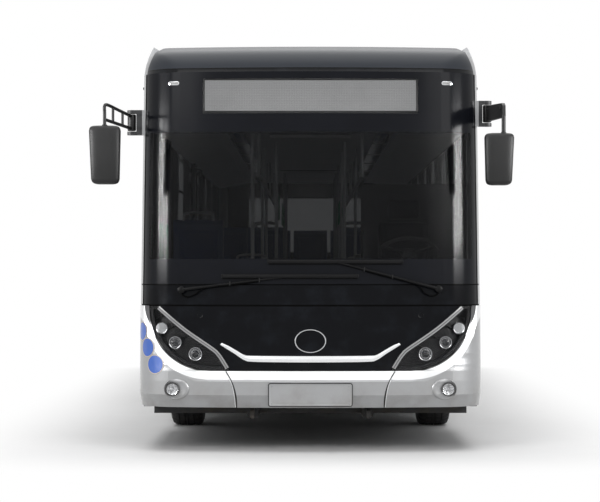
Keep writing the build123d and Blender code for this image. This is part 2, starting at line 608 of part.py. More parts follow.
def rear_y(z):
    """Rear face of the body at height z."""
    return REAR_Y - REAR_SLOPE * max(0.0, z - REAR_SLOPE_Z)


def rear_solid(inset, z0, z1, y0):
    """The rear end as a solid: rounded vertical corners, trimmed to the leaning sides and rear face."""
    w, y1 = HALF_WIDTH - inset, REAR_Y - inset
    plan = block(-w, w, y0, y1, z0, z1)
    plan = fillet(plan.edges().filter_by(Axis.Z).group_by(Axis.Y)[-1], REAR_CORNER - inset)
    levels = [z0] + [z for z in (SKIRT_TUCK_Z, WAIST_Z) if z0 < z < z1] + [z1]
    half = [(wall_x(z) - inset, z) for z in levels]
    sides = prism_y(half + [(-x, z) for x, z in reversed(half)], y0 - 10, y1 + 10)
    heights = [z0] + [z for z in (REAR_SLOPE_Z,) if z0 < z < z1] + [z1]
    back = [(rear_y(z) - inset, z) for z in heights]
    slope = prism_x([(y0 - 10, z0)] + back + [(y0 - 10, z1)], -w - 10, w + 10)
    return plan & sides & slope


def rear_skin(inset, thickness, z0, z1):
    return rear_solid(inset, z0, z1, WALL_REAR_Y) - rear_solid(inset + thickness, z0, z1, WALL_REAR_Y - 20)


def rear_wall():
    shell = rear_skin(0.0, WALL, SKIRT_Z, CANTRAIL_Z)
    x0, x1, z0, z1 = REAR_WINDOW
    window = block(x0, x1, WALL_REAR_Y, REAR_Y + 50, z0, z1)
    hatch = block(-HATCH_X, HATCH_X, WALL_REAR_Y, REAR_Y + 50, HATCH_Z0, HATCH_Z1)
    lamps_top = REAR_LAMP_Z0 + 2 * REAR_LAMP_PITCH + REAR_LAMP_HEIGHT
    lamps = [block(s * REAR_LAMP_X0, s * REAR_LAMP_X1, REAR_Y - 40, REAR_Y + 50, REAR_LAMP_Z0, lamps_top)
             for s in (-1, 1)]
    return shell.cut(window, hatch, *lamps)


def rear_glass():
    x0, x1, z0, z1 = REAR_WINDOW
    return rear_skin(0.0, GLASS, z0, z1) & block(x0, x1, WALL_REAR_Y, REAR_Y + 50, z0, z1)


def rear_hatch():
    g = GAP
    return block(-HATCH_X + g, HATCH_X - g, REAR_Y - PANEL, REAR_Y, HATCH_Z0 + g, HATCH_Z1 - g)


def rear_lamps():
    lamps = []
    for side in (-1, 1):
        for k in range(3):
            z = REAR_LAMP_Z0 + k * REAR_LAMP_PITCH
            lamps.append(block(side * REAR_LAMP_X0, side * REAR_LAMP_X1, REAR_Y - 40, REAR_Y - 2, z,
                               z + REAR_LAMP_HEIGHT))
    return group(lamps)


def rear_cap():
    """Rear end of the roof, closed behind, with its upper edges rounded off by flats."""
    z0, z1 = CANTRAIL_Z, ROOF_CROWN_Z - 4
    y0, y1 = WALL_REAR_Y, rear_y(z0)
    w = wall_x(z0)
    body = block(-w, w, y0, y1, z0, z1)
    body = fillet(body.edges().filter_by(Axis.Z).group_by(Axis.Y)[-1], REAR_CORNER - 40)
    # Each row is one height of the rounded edge: z, half width, setback of the rear face.
    edge = [(z0, w, 0), (ROOF_CROWN_Z - 132, HALF_WIDTH - 37, 20), (ROOF_CROWN_Z - 37, ROOF_RAIL_X, 65),
            (z1, ROOF_RAIL_X - 47, 120)]
    side = [(x, z) for z, x, _ in edge]
    body &= prism_y(side + [(-x, z) for x, z in reversed(side)], y0 - 10, y1 + 10)
    body &= prism_x([(y0 - 10, z0)] + [(y1 - setback, z) for z, _, setback in edge] + [(y0 - 10, z1)],
                    -w - 10, w + 10)
    room_top = ROOF_CROWN_Z - 142
    room = block(-w + WALL, w - WALL, y0 - 20, y1 - WALL, z0 - 1, room_top)
    room &= prism_y([(w - WALL, z0 - 1), (edge[1][1] - WALL, room_top), (-edge[1][1] + WALL, room_top),
                     (-w + WALL, z0 - 1)], y0 - 20, y1)
    return body - room


# Floor and chassis

HOUSING_Y = 575.0
HOUSING_SKIN = 20.0
# Each row is one wheel housing pair: axle y, inner x, top z, lower edge of its inner wall.
HOUSINGS = [(FRONT_AXLE_Y, HALF_WIDTH - 730.0, AXLE_Z + 566.0, FLOOR_Z - FLOOR_THICKNESS),
            (REAR_AXLE_Y, HALF_WIDTH - 675.0, AXLE_Z + 596.0, STEP_Z + 80.0)]
HOUSING_SEAT_Z = HOUSINGS[0][2]


PODIUM_X, PODIUM_Z, PODIUM_Y1 = HALF_WIDTH - 855.0, FLOOR_Z + 240.0, FRONT_Y + 2110.0


def cabin_floor():
    """Low floor, steps, rear deck, the driver's podium and the wheel housings as one welded piece."""
    t = FLOOR_THICKNESS
    y0, y1 = WALL_FRONT_Y, WALL_REAR_Y
    stairs = [(y0, FLOOR_Z - t), (y0, FLOOR_Z), (STEP_Y, FLOOR_Z), (STEP_Y, STEP_Z), (DECK_Y, STEP_Z),
              (DECK_Y, DECK_Z), (y1, DECK_Z), (y1, DECK_Z - t), (DECK_Y + t, DECK_Z - t), (DECK_Y + t, STEP_Z - t),
              (STEP_Y + t, STEP_Z - t), (STEP_Y + t, FLOOR_Z - t)]
    deck = prism_x(stairs, -CABIN_HALF_WIDTH, CABIN_HALF_WIDTH)
    cuts = [block(side * x, side * (HALF_WIDTH + 25), y - HOUSING_Y, y + HOUSING_Y, 200, 1200)
            for y, x, *_ in HOUSINGS for side in (-1, 1)]
    podium = block(PODIUM_X, CABIN_HALF_WIDTH, y0, PODIUM_Y1, FLOOR_Z, PODIUM_Z)
    tubs = []
    for y, x, top, edge in HOUSINGS:
        low = FLOOR_Z - t
        tub = block(x, CABIN_HALF_WIDTH, y - HOUSING_Y, y + HOUSING_Y, low, top)
        room = block(x + HOUSING_SKIN, CABIN_HALF_WIDTH + 1, y - HOUSING_Y + HOUSING_SKIN,
                     y + HOUSING_Y - HOUSING_SKIN, low - 1, top - HOUSING_SKIN)
        slot = block(x - 1, x + HOUSING_SKIN + 1, y - HOUSING_Y - 1, y + HOUSING_Y + 1, low - 1, edge)
        tub = tub.cut(room, slot)
        tubs += [tub, other_side(tub)]
    floor = fused([deck.cut(*cuts), podium, *tubs])
    skirt = wall_slab(SKIRT_Z, WAIST_Z, y0 - 1, y1 + 1, 0.0, WALL)
    return floor.cut(skirt, other_side(skirt))


RAIL_X, RAIL_WIDTH, RAIL_Z0 = 430.0, 80.0, 235.0
RAIL_Z1 = FLOOR_Z - FLOOR_THICKNESS
RAIL_Y0, RAIL_Y1 = FRONT_Y + 400.0, REAR_Y - 300.0
LINK_MEMBER_Y = FRONT_AXLE_Y + 850.0
# Each row is one cross member: its middle y.
CROSS_MEMBERS = [FRONT_Y + 850.0, FRONT_AXLE_Y - 950.0, LINK_MEMBER_Y, -1500.0, -600.0, 400.0, STEP_Y - 150.0]
REAR_CROSS_MEMBERS = [DECK_Y + 150.0, REAR_AXLE_Y + 900.0, REAR_Y - 500.0]
CROSS_MEMBER_X = HALF_WIDTH - 75.0
RAIL_Z2, RAIL_Z3 = 650.0, DECK_Z - FLOOR_THICKNESS
TOW_Y, TOW_Z, TOW_BORE, TOW_WIDTH = FRONT_Y + 250, RAIL_Z0 + 37.5, 20.0, 30.0


def tow_lug(x):
    """Towing eye at the front end of a rail, bored across."""
    lug = block(x - TOW_WIDTH / 2, x + TOW_WIDTH / 2, TOW_Y - 38, RAIL_Y0 + 10, RAIL_Z0, RAIL_Z1)
    lug = fillet(lug.edges().filter_by(Axis.X).group_by(Axis.Y)[0], 28.0)
    return lug - rod((x - TOW_WIDTH, TOW_Y, TOW_Z), (x + TOW_WIDTH, TOW_Y, TOW_Z), TOW_BORE)


def underframe():
    """Two rails that step up behind the low floor, their cross members and the towing eyes."""
    t = FLOOR_THICKNESS
    rail = [(RAIL_Y0, RAIL_Z0), (STEP_Y + 100, RAIL_Z0), (DECK_Y + 250, RAIL_Z2), (RAIL_Y1, RAIL_Z2),
            (RAIL_Y1, RAIL_Z3), (DECK_Y + t, RAIL_Z3), (DECK_Y + t, STEP_Z - t), (STEP_Y + t, STEP_Z - t),
            (STEP_Y + t, RAIL_Z1), (RAIL_Y0, RAIL_Z1)]
    left = prism_x(rail, RAIL_X - RAIL_WIDTH / 2, RAIL_X + RAIL_WIDTH / 2) + tow_lug(RAIL_X)
    pieces = [left, other_side(left)]
    for y in CROSS_MEMBERS:
        pieces.append(block(-CROSS_MEMBER_X, CROSS_MEMBER_X, y - 40, y + 40, RAIL_Z0, RAIL_Z1))
    for y in REAR_CROSS_MEMBERS:
        pieces.append(block(-CROSS_MEMBER_X, CROSS_MEMBER_X, y - 40, y + 40, RAIL_Z2, RAIL_Z3))
    return fused(pieces)


MOTOR_Y, DRIVE_Z, BATTERY_X, FINAL_DRIVE = REAR_AXLE_Y + 860.0, RAIL_Z2 - 320.0, HALF_WIDTH - 275.0, 216.0


def drive_units():
    """Traction motor with its shaft to the rear axle, and the battery box, as plain blocks."""
    motor = block(-260, 260, MOTOR_Y, MOTOR_Y + 790, DRIVE_Z, RAIL_Z2)
    shaft = rod((0, REAR_AXLE_Y + FINAL_DRIVE, AXLE_Z), (0, MOTOR_Y + 5, AXLE_Z), 45.0)
    battery = block(-BATTERY_X, BATTERY_X, REAR_Y - 1400, REAR_Y - 400, DRIVE_Z, RAIL_Z2)
    return group([fused([motor, shaft]), battery])


# Axles and wheels

def tyre(x, y):
    r, rim, h = TYRE_RADIUS, RIM_RADIUS, TYRE_WIDTH / 2
    return ring_x([(-h + 24, r), (h - 24, r), (h, r - 45), (h, rim), (-h, rim), (-h, r - 45)], x, y, AXLE_Z)


DISC_OFFSET = 154.0


def disc_wheel(x, y, side, holes=0):
    """Steel rim and dished disc; its mounting face lies DISC_OFFSET from the tyre's middle towards side."""
    h, r, s, disc = RIM_WIDTH / 2, RIM_RADIUS, side, side * DISC_OFFSET
    well = r - 36
    section = [(-h * s, r), (h * s, r), (h * s, well), (disc - 50 * s, well), (disc - 16 * s, well - 18),
               (disc, well - 18), (disc, 60), (disc - 16 * s, 60), (disc - 16 * s, well - 36),
               (disc - 70 * s, well - 18), (-h * s, well - 18)]
    wheel = ring_x(section, x, y, AXLE_Z)
    bores = []
    for k in range(holes):
        a = 2 * pi * k / holes
        hy, hz = y + 180 * cos(a), AXLE_Z + 180 * sin(a)
        bores.append(rod((x + disc - s * 30, hy, hz), (x + disc + s * 30, hy, hz), 26.0))
    return wheel.cut(*bores) if bores else wheel


def front_wheel():
    x = FRONT_WHEEL_X
    face = x + DISC_OFFSET
    hub = [(x + 30, 0), (x + 30, 95), (face - 16, 95), (face - 16, 80), (face + 45, 70), (face + 45, 0)]
    return fused([disc_wheel(x, FRONT_AXLE_Y, 1, 10), ring_x(hub, 0, FRONT_AXLE_Y, AXLE_Z)])


def rear_wheel():
    """Twin discs bolted back to back on one hub."""
    inner_face = REAR_INNER_X + DISC_OFFSET
    hub = [(inner_face - 46, 0), (inner_face - 46, 120), (inner_face - 16, 120), (inner_face - 16, 86),
           (inner_face + 160, 80), (inner_face + 160, 0)]
    return fused([disc_wheel(REAR_INNER_X, REAR_AXLE_Y, 1), disc_wheel(REAR_OUTER_X, REAR_AXLE_Y, -1, 10),
                  ring_x(hub, 0, REAR_AXLE_Y, AXLE_Z)])


KNUCKLE_GAP = 5.0
BELLOWS_X = KINGPIN_X - 270.0
LINK_X = RAIL_X + 78.0


def front_axle():
    """Low dropped beam with raised ends for the kingpins, two air springs and two trailing links."""
    k, z = KINGPIN_X, AXLE_Z
    half = [(k - 385, z - 274), (k - 350, z + 41), (k - 45, z + 66), (k - 45, z - 67), (k - 110, z - 79),
            (k - 270, z - 79), (k - 320, z - 329)]
    points = half + [(-x, z) for x, z in reversed(half)]
    beam = prism_y(points, FRONT_AXLE_Y - 55, FRONT_AXLE_Y + 55)
    pieces = [beam]
    housing_top = HOUSINGS[0][2] - HOUSING_SKIN
    for side in (-1, 1):
        x, y = side * BELLOWS_X, FRONT_AXLE_Y
        pieces.append(rod((side * KINGPIN_X, y, KINGPIN_Z0), (side * KINGPIN_X, y, KINGPIN_Z1), 48.0))
        pieces.append(rod((x, y, AXLE_Z + 36), (x, y, AXLE_Z + 281), 100.0))
        pieces.append(rod((x, y, AXLE_Z + 281), (x, y, housing_top), 55.0))
        x = side * LINK_X
        pieces.append(rod((x, y + 30, AXLE_Z - 301), (x, LINK_MEMBER_Y - 43, RAIL_Z0 + 27), 24.0))
    return fused(pieces)


def knuckle():
    """Left steering knuckle: a fork about the kingpin boss and the spindle that carries the hub."""
    y, z0, z1 = FRONT_AXLE_Y, KINGPIN_Z0 - KNUCKLE_GAP, KINGPIN_Z1 + KNUCKLE_GAP
    x0, x1 = KINGPIN_X, KINGPIN_X + 80
    pieces = [block(x1 - 24, x1, y - 48, y + 48, z0 - 34, z1 + 34),
              rod((x1 - 24, y, AXLE_Z), (FRONT_WHEEL_X + 25, y, AXLE_Z), 80.0)]
    for foot, head in ((z1, z1 + 34), (z0 - 34, z0)):
        pieces += [rod((x0, y, foot), (x0, y, head), 50.0), block(x0, x1, y - 48, y + 48, foot, head)]
    return fused(pieces)


def rear_axle():
    """Axle tube with its final drive, two spring beams and four air springs."""
    y, z = REAR_AXLE_Y, AXLE_Z
    reach = REAR_INNER_X + DISC_OFFSET - 52
    drive = [(-190, 100), (-120, 190), (-60, 215), (60, 215), (120, 190), (190, 100), (190, 0), (-190, 0)]
    nose = rod((0, y, z), (0, y + FINAL_DRIVE, z), 120.0)
    pieces = [rod((-reach, y, z), (reach, y, z), 92.0), ring_x(drive, 0, y, z), nose]
    for side in (-1, 1):
        x = side * RAIL_X
        pieces.append(block(x - 45, x + 45, y - 480, y + 480, z - 54, z + 26))
        for end in (-1, 1):
            pieces.append(rod((x, y + end * 380, z + 21), (x, y + end * 380, RAIL_Z2), 105.0))
    return fused(pieces)


# Doors, built on the +X side for the leaf at the doorway's front end and mirrored where needed

LEAF_U0 = JAMB_CLEARANCE + PILLAR_BEHIND_JAMB - ARM_LENGTH
LEAF_U1 = DOORWAY_WIDTH / 2 - MEETING_CLEARANCE + PILLAR_BEHIND_JAMB - ARM_LENGTH
LEAF_SIDE, LEAF_SILL, LEAF_HEAD = 55.0, 130.0, 70.0


def door_pillar(y):
    """Pillar at y with an arm at its foot and one at its head, pointing along +Y."""
    foot, head = ARM_Z_LOW, ARM_Z_HIGH
    pieces = [rod((PILLAR_X, y, foot), (PILLAR_X, y, head + ARM_HEIGHT + 5), PILLAR_RADIUS)]
    for z in (foot, head):
        pieces.append(block(PILLAR_X - 14, PILLAR_X + 14, y, y + ARM_LENGTH, z, z + ARM_HEIGHT))
        pieces.append(rod((PILLAR_X, y + ARM_LENGTH, z), (PILLAR_X, y + ARM_LENGTH, z + ARM_HEIGHT), 20.0))
    return fused(pieces)


def door_leaf(y):
    """Leaf frame of the pillar at y, with a bracket over the foot arm and one under the head arm."""
    y0, y1 = y + ARM_LENGTH + LEAF_U0, y + ARM_LENGTH + LEAF_U1
    frame = wall_slab(LEAF_Z0, LEAF_Z1, y0, y1, LEAF_RECESS, LEAF_THICKNESS)
    light = block(HALF_WIDTH - 150, HALF_WIDTH + 50, y0 + LEAF_SIDE, y1 - LEAF_SIDE, LEAF_Z0 + LEAF_SILL,
                  LEAF_Z1 - LEAF_HEAD)
    q = y + ARM_LENGTH
    brackets = [block(PILLAR_X - 20, HALF_WIDTH - 40, q - 25, q + 25, z0, z1)
                for z0, z1 in [(LEAF_Z0, LEAF_Z0 + 60), (LEAF_Z1 - 50, LEAF_Z1)]]
    return fused([frame - light, *brackets])


def door_glass(y):
    y0, y1 = y + ARM_LENGTH + LEAF_U0, y + ARM_LENGTH + LEAF_U1
    return wall_slab(LEAF_Z0 + LEAF_SILL, LEAF_Z1 - LEAF_HEAD, y0 + LEAF_SIDE, y1 - LEAF_SIDE, LEAF_RECESS,
                     GLASS)


def doorway(make, first_y, end):
    """One leaf's piece on the bus's right side; end 0 is the doorway's front jamb, end 1 its rear jamb."""
    piece = other_side(make(first_y - PILLAR_BEHIND_JAMB))
    return mirror(piece, about=Plane.XZ.offset(-(first_y + DOORWAY_WIDTH / 2))) if end else piece


# Mirrors

# Each row is one mirror: side, hinge x, hinge z0, hinge z1, head inner x, head outer x, head z0, head z1.
W = HALF_WIDTH
MIRRORS = {"right": (-1, W + 70.0, 2355.0, 2530.0, W + 101.0, W + 331.0, 1956.0, 2381.0),
           "left": (1, W + 55.0, 2420.0, 2600.0, W - 13.0, W + 203.0, 1949.0, 2327.0)}
HINGE_Y = FRONT_Y + 500.0
HEAD_Y = FRONT_Y - 70.0


def mirror_bracket(name):
    side, x, z0, z1, *_ = MIRRORS[name]
    pieces = [block(HALF_WIDTH - 40, x - 38, HINGE_Y - 45, HINGE_Y + 45, z0 - 5, z1 + 5)]
    for foot, head in ((z0 - 6, z0 + 20), (z1 - 20, z1 + 6)):
        pieces += [rod((x, HINGE_Y, foot), (x, HINGE_Y, head), 34.0),
                   block(x - 50, x, HINGE_Y - 30, HINGE_Y + 30, foot, head)]
    piece = fused(pieces)
    return piece if side > 0 else other_side(piece)


def outside_mirror(name):
    side, x, z0, z1, hx0, hx1, hz0, hz1 = MIRRORS[name]
    tip_x = (hx0 + hx1) / 2
    knuckle = rod((x, HINGE_Y, z0 + 26), (x, HINGE_Y, z1 - 26), 32.0)
    if name == "right":
        tubes = [((x, HINGE_Y, z1 - 40), (tip_x, HEAD_Y, z1 + 10)), ((x, HINGE_Y, z0 + 42), (tip_x, HEAD_Y, z0 + 70)),
                 ((tip_x, HEAD_Y, z1 + 10), (tip_x, HEAD_Y, hz1 - 10))]
        arms = [rod(a, b, 12.0) for a, b in tubes]
        for t in (0.35, 0.7):
            a = [p + (q - p) * t for p, q in zip(*tubes[0])]
            b = [p + (q - p) * t for p, q in zip(*tubes[1])]
            arms.append(rod(a, b, 9.0))
    else:
        plate = prism_x([(HINGE_Y, z0 + 30), (HINGE_Y, z1 - 30), (HEAD_Y - 20, z1 - 60), (HEAD_Y - 20, z0 + 20)],
                        x - 12, x + 12)
        arms = [plate, rod((x, HEAD_Y, z0 + 40), (x, HEAD_Y, hz1 - 10), 15.0)]
    head = block(hx0, hx1, HEAD_Y - 50, HEAD_Y + 60, hz0, hz1)
    head = fillet(head.edges().filter_by(Axis.Z), 24.0)
    head = chamfer(head.faces().filter_by(Axis.Z).edges(), 12.0)
    piece = fused([knuckle, *arms, head])
    return piece if side > 0 else other_side(piece)


# Wipers: pivot x, pivot z, blade first x, blade last x, blade z
WIPERS = [(-948.0, SCREEN_Z0 - 37.0, -640.0, 341.0, SCREEN_Z0 + 62.0),
          (943.0, SCREEN_Z0 - 30.0, -305.0, 669.0, SCREEN_Z0 + 168.0)]


def screen_y(x, z):
    """Height-dependent front surface of the windscreen and the cowl below it."""
    if z >= SCREEN_Z0:
        rise = (z - SCREEN_Z0) / (SCREEN_Z1 - SCREEN_Z0)
        half_width, setback = wall_x(SCREEN_Z0), SCREEN_SETBACK + rise * (SCREEN_TOP_SETBACK - SCREEN_SETBACK)
    else:
        rise = (z - FLAP_Z1) / (SCREEN_Z0 - FLAP_Z1)
        half_width, setback = HALF_WIDTH, FLAP_TOP_SETBACK + rise * (SCREEN_SETBACK - FLAP_TOP_SETBACK)
    return FRONT_Y + plan_y(abs(x), half_width, setback)


def wiper(px, pz, x0, x1, bz):
    mid = (x0 + x1) / 2
    lift = 12.0
    ends = []
    for reach in (lift, lift + 16):
        ends.append([Vector(x, screen_y(x, bz) - reach, bz - 15) for x in (x0, mid, x1)])
    blade = Wire([ThreePointArc(*ends[0]), Line(ends[0][2], ends[1][2]), ThreePointArc(*reversed(ends[1])),
                  Line(ends[1][0], ends[0][0])])
    blade = extrude(Face(blade), amount=30, dir=(0, 0, 1))
    pivot_y = screen_y(px, pz)
    pivot = rod((px, pivot_y + 10, pz), (px, pivot_y - 48, pz), 24.0)
    arm = rod((px, pivot_y - 36, pz), (mid, screen_y(mid, bz) - lift - 14, bz), 9.0)
    return fused([blade, pivot, arm])


# Cabin fittings

WHEEL_X, WHEEL_Y, WHEEL_Z = HALF_WIDTH - 505.0, BULKHEAD_Y + 550.0, PODIUM_Z + 865.0
WHEEL_RADIUS, WHEEL_TILT = 230.0, 30.0


def steering_axis_point(along):
    """A point on the steering column, along above the wheel's middle."""
    tilt = radians(WHEEL_TILT)
    return WHEEL_X, WHEEL_Y + along * sin(tilt), WHEEL_Z + along * cos(tilt)


def steering_wheel():
    """Rim of six-sided section, three flat spokes and a round boss, tilted towards the driver."""
    r, t = WHEEL_RADIUS, 15.0
    section = [(r + t * cos(radians(k)), t * sin(radians(k))) for k in range(0, 360, 60)]
    rim = revolve(make_face(Polyline(*[(x, 0, z) for x, z in section], close=True)), Axis.Z, 360)
    spokes = [Rot(0, 0, angle) * Pos(r / 2, 0, -6) * Box(r, 34, 10) for angle in (90, 210, 330)]
    boss = Pos(0, 0, -30) * Cylinder(52.0, 60.0)
    wheel = fused([rim, boss, *spokes])
    tilt = Plane(origin=(WHEEL_X, WHEEL_Y, WHEEL_Z), x_dir=(1, 0, 0),
                 z_dir=(0, sin(radians(WHEEL_TILT)), cos(radians(WHEEL_TILT))))
    return tilt * wheel


def dashboard():
    y, z = BULKHEAD_Y, PODIUM_Z
    desk = prism_x([(y + 50, z), (y + 50, z + 610), (y + 380, z + 650), (y + 510, z + 590), (y + 510, z + 530),
                    (y + 340, z + 440), (y + 260, z)], PODIUM_X, CABIN_HALF_WIDTH - 25)
    column = rod(steering_axis_point(-420), steering_axis_point(-66), 42.0)
    return fused([desk, column])


def driver_seat():
    x, y, z = WHEEL_X, WHEEL_Y + 560.0, PODIUM_Z
    pedestal = block(x - 170, x + 170, y - 220, y + 180, z, z + 340)
    cushion = prism_x([(y - 270, z + 350), (y - 270, z + 450), (y + 230, z + 420), (y + 230, z + 340),
                       (y - 220, z + 340)], x - 245, x + 245)
    back = prism_x([(y + 170, z + 390), (y + 270, z + 1150), (y + 360, z + 1145), (y + 270, z + 360)],
                   x - 235, x + 235)
    head = block(x - 140, x + 140, y + 270, y + 355, z + 1140, z + 1330)
    return fused([pedestal, cushion, back, head])


def driver_partition():
    """Panel behind the driver and the half-height side screen along the aisle."""
    x0, x1, y1 = PODIUM_X, CABIN_HALF_WIDTH, PODIUM_Y1
    rear = block(x0, x1 - 3, y1 - 30, y1, PODIUM_Z, PODIUM_Z + 1450)
    side = block(x0, x0 + 30, y1 - 900, y1, PODIUM_Z, PODIUM_Z + 1050)
    wall = wall_slab(PODIUM_Z - 50, PODIUM_Z + 1700, y1 - 950, y1 + 50, 0.0, WALL)
    return fused([rear, side]) - wall


SEAT_WIDTH = 435.0
AISLE_SEAT_X, WINDOW_SEAT_X = CABIN_HALF_WIDTH - 670.0, CABIN_HALF_WIDTH - 230.0
LEFT_PAIR, RIGHT_PAIR = (AISLE_SEAT_X, WINDOW_SEAT_X), (-AISLE_SEAT_X, -WINDOW_SEAT_X)
BENCH = [k * (CABIN_HALF_WIDTH - 255.0) / 2 for k in (-2, -1, 0, 1, 2)]
SEAT_TOP, HOUSING_SEAT_TOP = 450.0, 130.0
# Each row is a pair of passenger seats beside the aisle: middle x of each seat, y at the foot of the
# backrests, floor z.
SEAT_PAIRS = [(LEFT_PAIR, FRONT_AXLE_Y + 1250.0, FLOOR_Z), (RIGHT_PAIR, FRONT_AXLE_Y + 1250.0, FLOOR_Z),
              (LEFT_PAIR, FRONT_AXLE_Y + 2050.0, FLOOR_Z), (LEFT_PAIR, STEP_Y - 50.0, FLOOR_Z),
              (LEFT_PAIR, REAR_AXLE_Y + 1050.0, DECK_Z), (RIGHT_PAIR, REAR_AXLE_Y + 1050.0, DECK_Z),
              (LEFT_PAIR, REAR_AXLE_Y + 1850.0, DECK_Z), (RIGHT_PAIR, REAR_AXLE_Y + 1850.0, DECK_Z)]
# Each row is a group of seats joined by a bar: middle x of each, y at the foot of the backrests, foot z, seat height.
SEAT_ROWS = [((x,), FRONT_AXLE_Y + 340.0, HOUSING_SEAT_Z, HOUSING_SEAT_TOP) for x in (-WINDOW_SEAT_X, WINDOW_SEAT_X)]
SEAT_ROWS += [(*row, SEAT_TOP) for row in SEAT_PAIRS] + [(BENCH, REAR_Y - 400.0, DECK_Z, SEAT_TOP)]


def seat_profile(y, z, top):
    """Side view of a seat facing forwards; y is the back of its backrest at the foot."""
    return [(y - 520, z + top - 70), (y - 500, z + top), (y - 110, z + top - 15), (y - 70, z + top + 60),
            (y - 20, z + top + 560), (y + 10, z + top + 600), (y + 45, z + top + 590), (y + 45, z + top + 540),
            (y, z + top - 60), (y - 80, z + top - 75)]


def passenger_seats():
    seats = []
    for xs, y, z, top in SEAT_ROWS:
        pieces = []
        for x in xs:
            shell = prism_x(seat_profile(y, z, top), x - SEAT_WIDTH / 2, x + SEAT_WIDTH / 2)
            foot = block(x - 60, x + 60, y - 400, y - 90, z, z + top - 68)
            pieces.append(fused([shell, foot]))
        x0, x1 = min(xs), max(xs)
        if x1 > x0:
            pieces.append(block(x0, x1, y - 300, y - 240, z + top - 110, z + top - 60))
        seats.append(fused(pieces))
    return group(seats)


POLE_RADIUS = 16.0
AISLE_POLE_X, DOOR_POLE_X = AISLE_SEAT_X - 240.0, AISLE_SEAT_X - 70.0
# Each row is one vertical pole: x, y, foot z.
POLES = [(-DOOR_POLE_X - 5, FRONT_AXLE_Y - 680, FLOOR_Z), (-AISLE_POLE_X, FRONT_AXLE_Y + 680, FLOOR_Z),
         (AISLE_POLE_X, FRONT_AXLE_Y + 680, FLOOR_Z), (AISLE_POLE_X, FRONT_AXLE_Y + 2120, FLOOR_Z),
         (-DOOR_POLE_X, MIDDLE_DOOR_Y - 240, FLOOR_Z), (DOOR_POLE_X, MIDDLE_DOOR_Y + 1080, FLOOR_Z),
         (-DOOR_POLE_X, MIDDLE_DOOR_Y + 1480, FLOOR_Z), (AISLE_POLE_X, STEP_Y - 120, FLOOR_Z),
         (-AISLE_POLE_X, REAR_AXLE_Y + 440, DECK_Z), (AISLE_POLE_X, REAR_AXLE_Y + 440, DECK_Z),
         (-AISLE_POLE_X, REAR_AXLE_Y + 1900, DECK_Z), (AISLE_POLE_X, REAR_AXLE_Y + 1900, DECK_Z)]
GRAB_RAIL_X, GRAB_RAIL_Z = AISLE_SEAT_X - 115.0, CEILING_Z - 360.0
RAIL_START_Y, RAIL_END_Y = FRONT_AXLE_Y - 660.0, REAR_Y - 700.0
# Each row is one hanger of a grab rail: its y.
RAIL_HANGERS = [RAIL_START_Y + 60, -1700, 700, REAR_AXLE_Y + 400, RAIL_END_Y - 60]


def ceiling_z(x):
    """Underside of the ceiling at x."""
    edge, inner = CABIN_HALF_WIDTH - 45, DUCT_X
    if abs(x) <= inner:
        return CEILING_Z
    return CEILING_Z - (CEILING_Z - WINDOW_Z1 - 10) * (abs(x) - inner) / (edge - inner)


def handrails():
    """Two grab rails hung from the ceiling and poles from floor to ceiling, each bar a piece of its own."""
    bars = []
    for side in (-1, 1):
        x = side * GRAB_RAIL_X
        rail = bar((x, RAIL_START_Y, GRAB_RAIL_Z), (x, RAIL_END_Y, GRAB_RAIL_Z), POLE_RADIUS)
        bars.append(rail)
        for y in RAIL_HANGERS:
            bars.append(bar((x, y, GRAB_RAIL_Z), (x, y, CEILING_Z), POLE_RADIUS - 3) - rail)
    for x, y, z in POLES:
        bars.append(bar((x, y, z), (x, y, ceiling_z(x)), POLE_RADIUS))
    return group(bars)


# Export

def save(nodes):
    os.makedirs("parts", exist_ok=True)
    for name, shape in nodes.items():
        export_step(shape, f"parts/{name}.step")


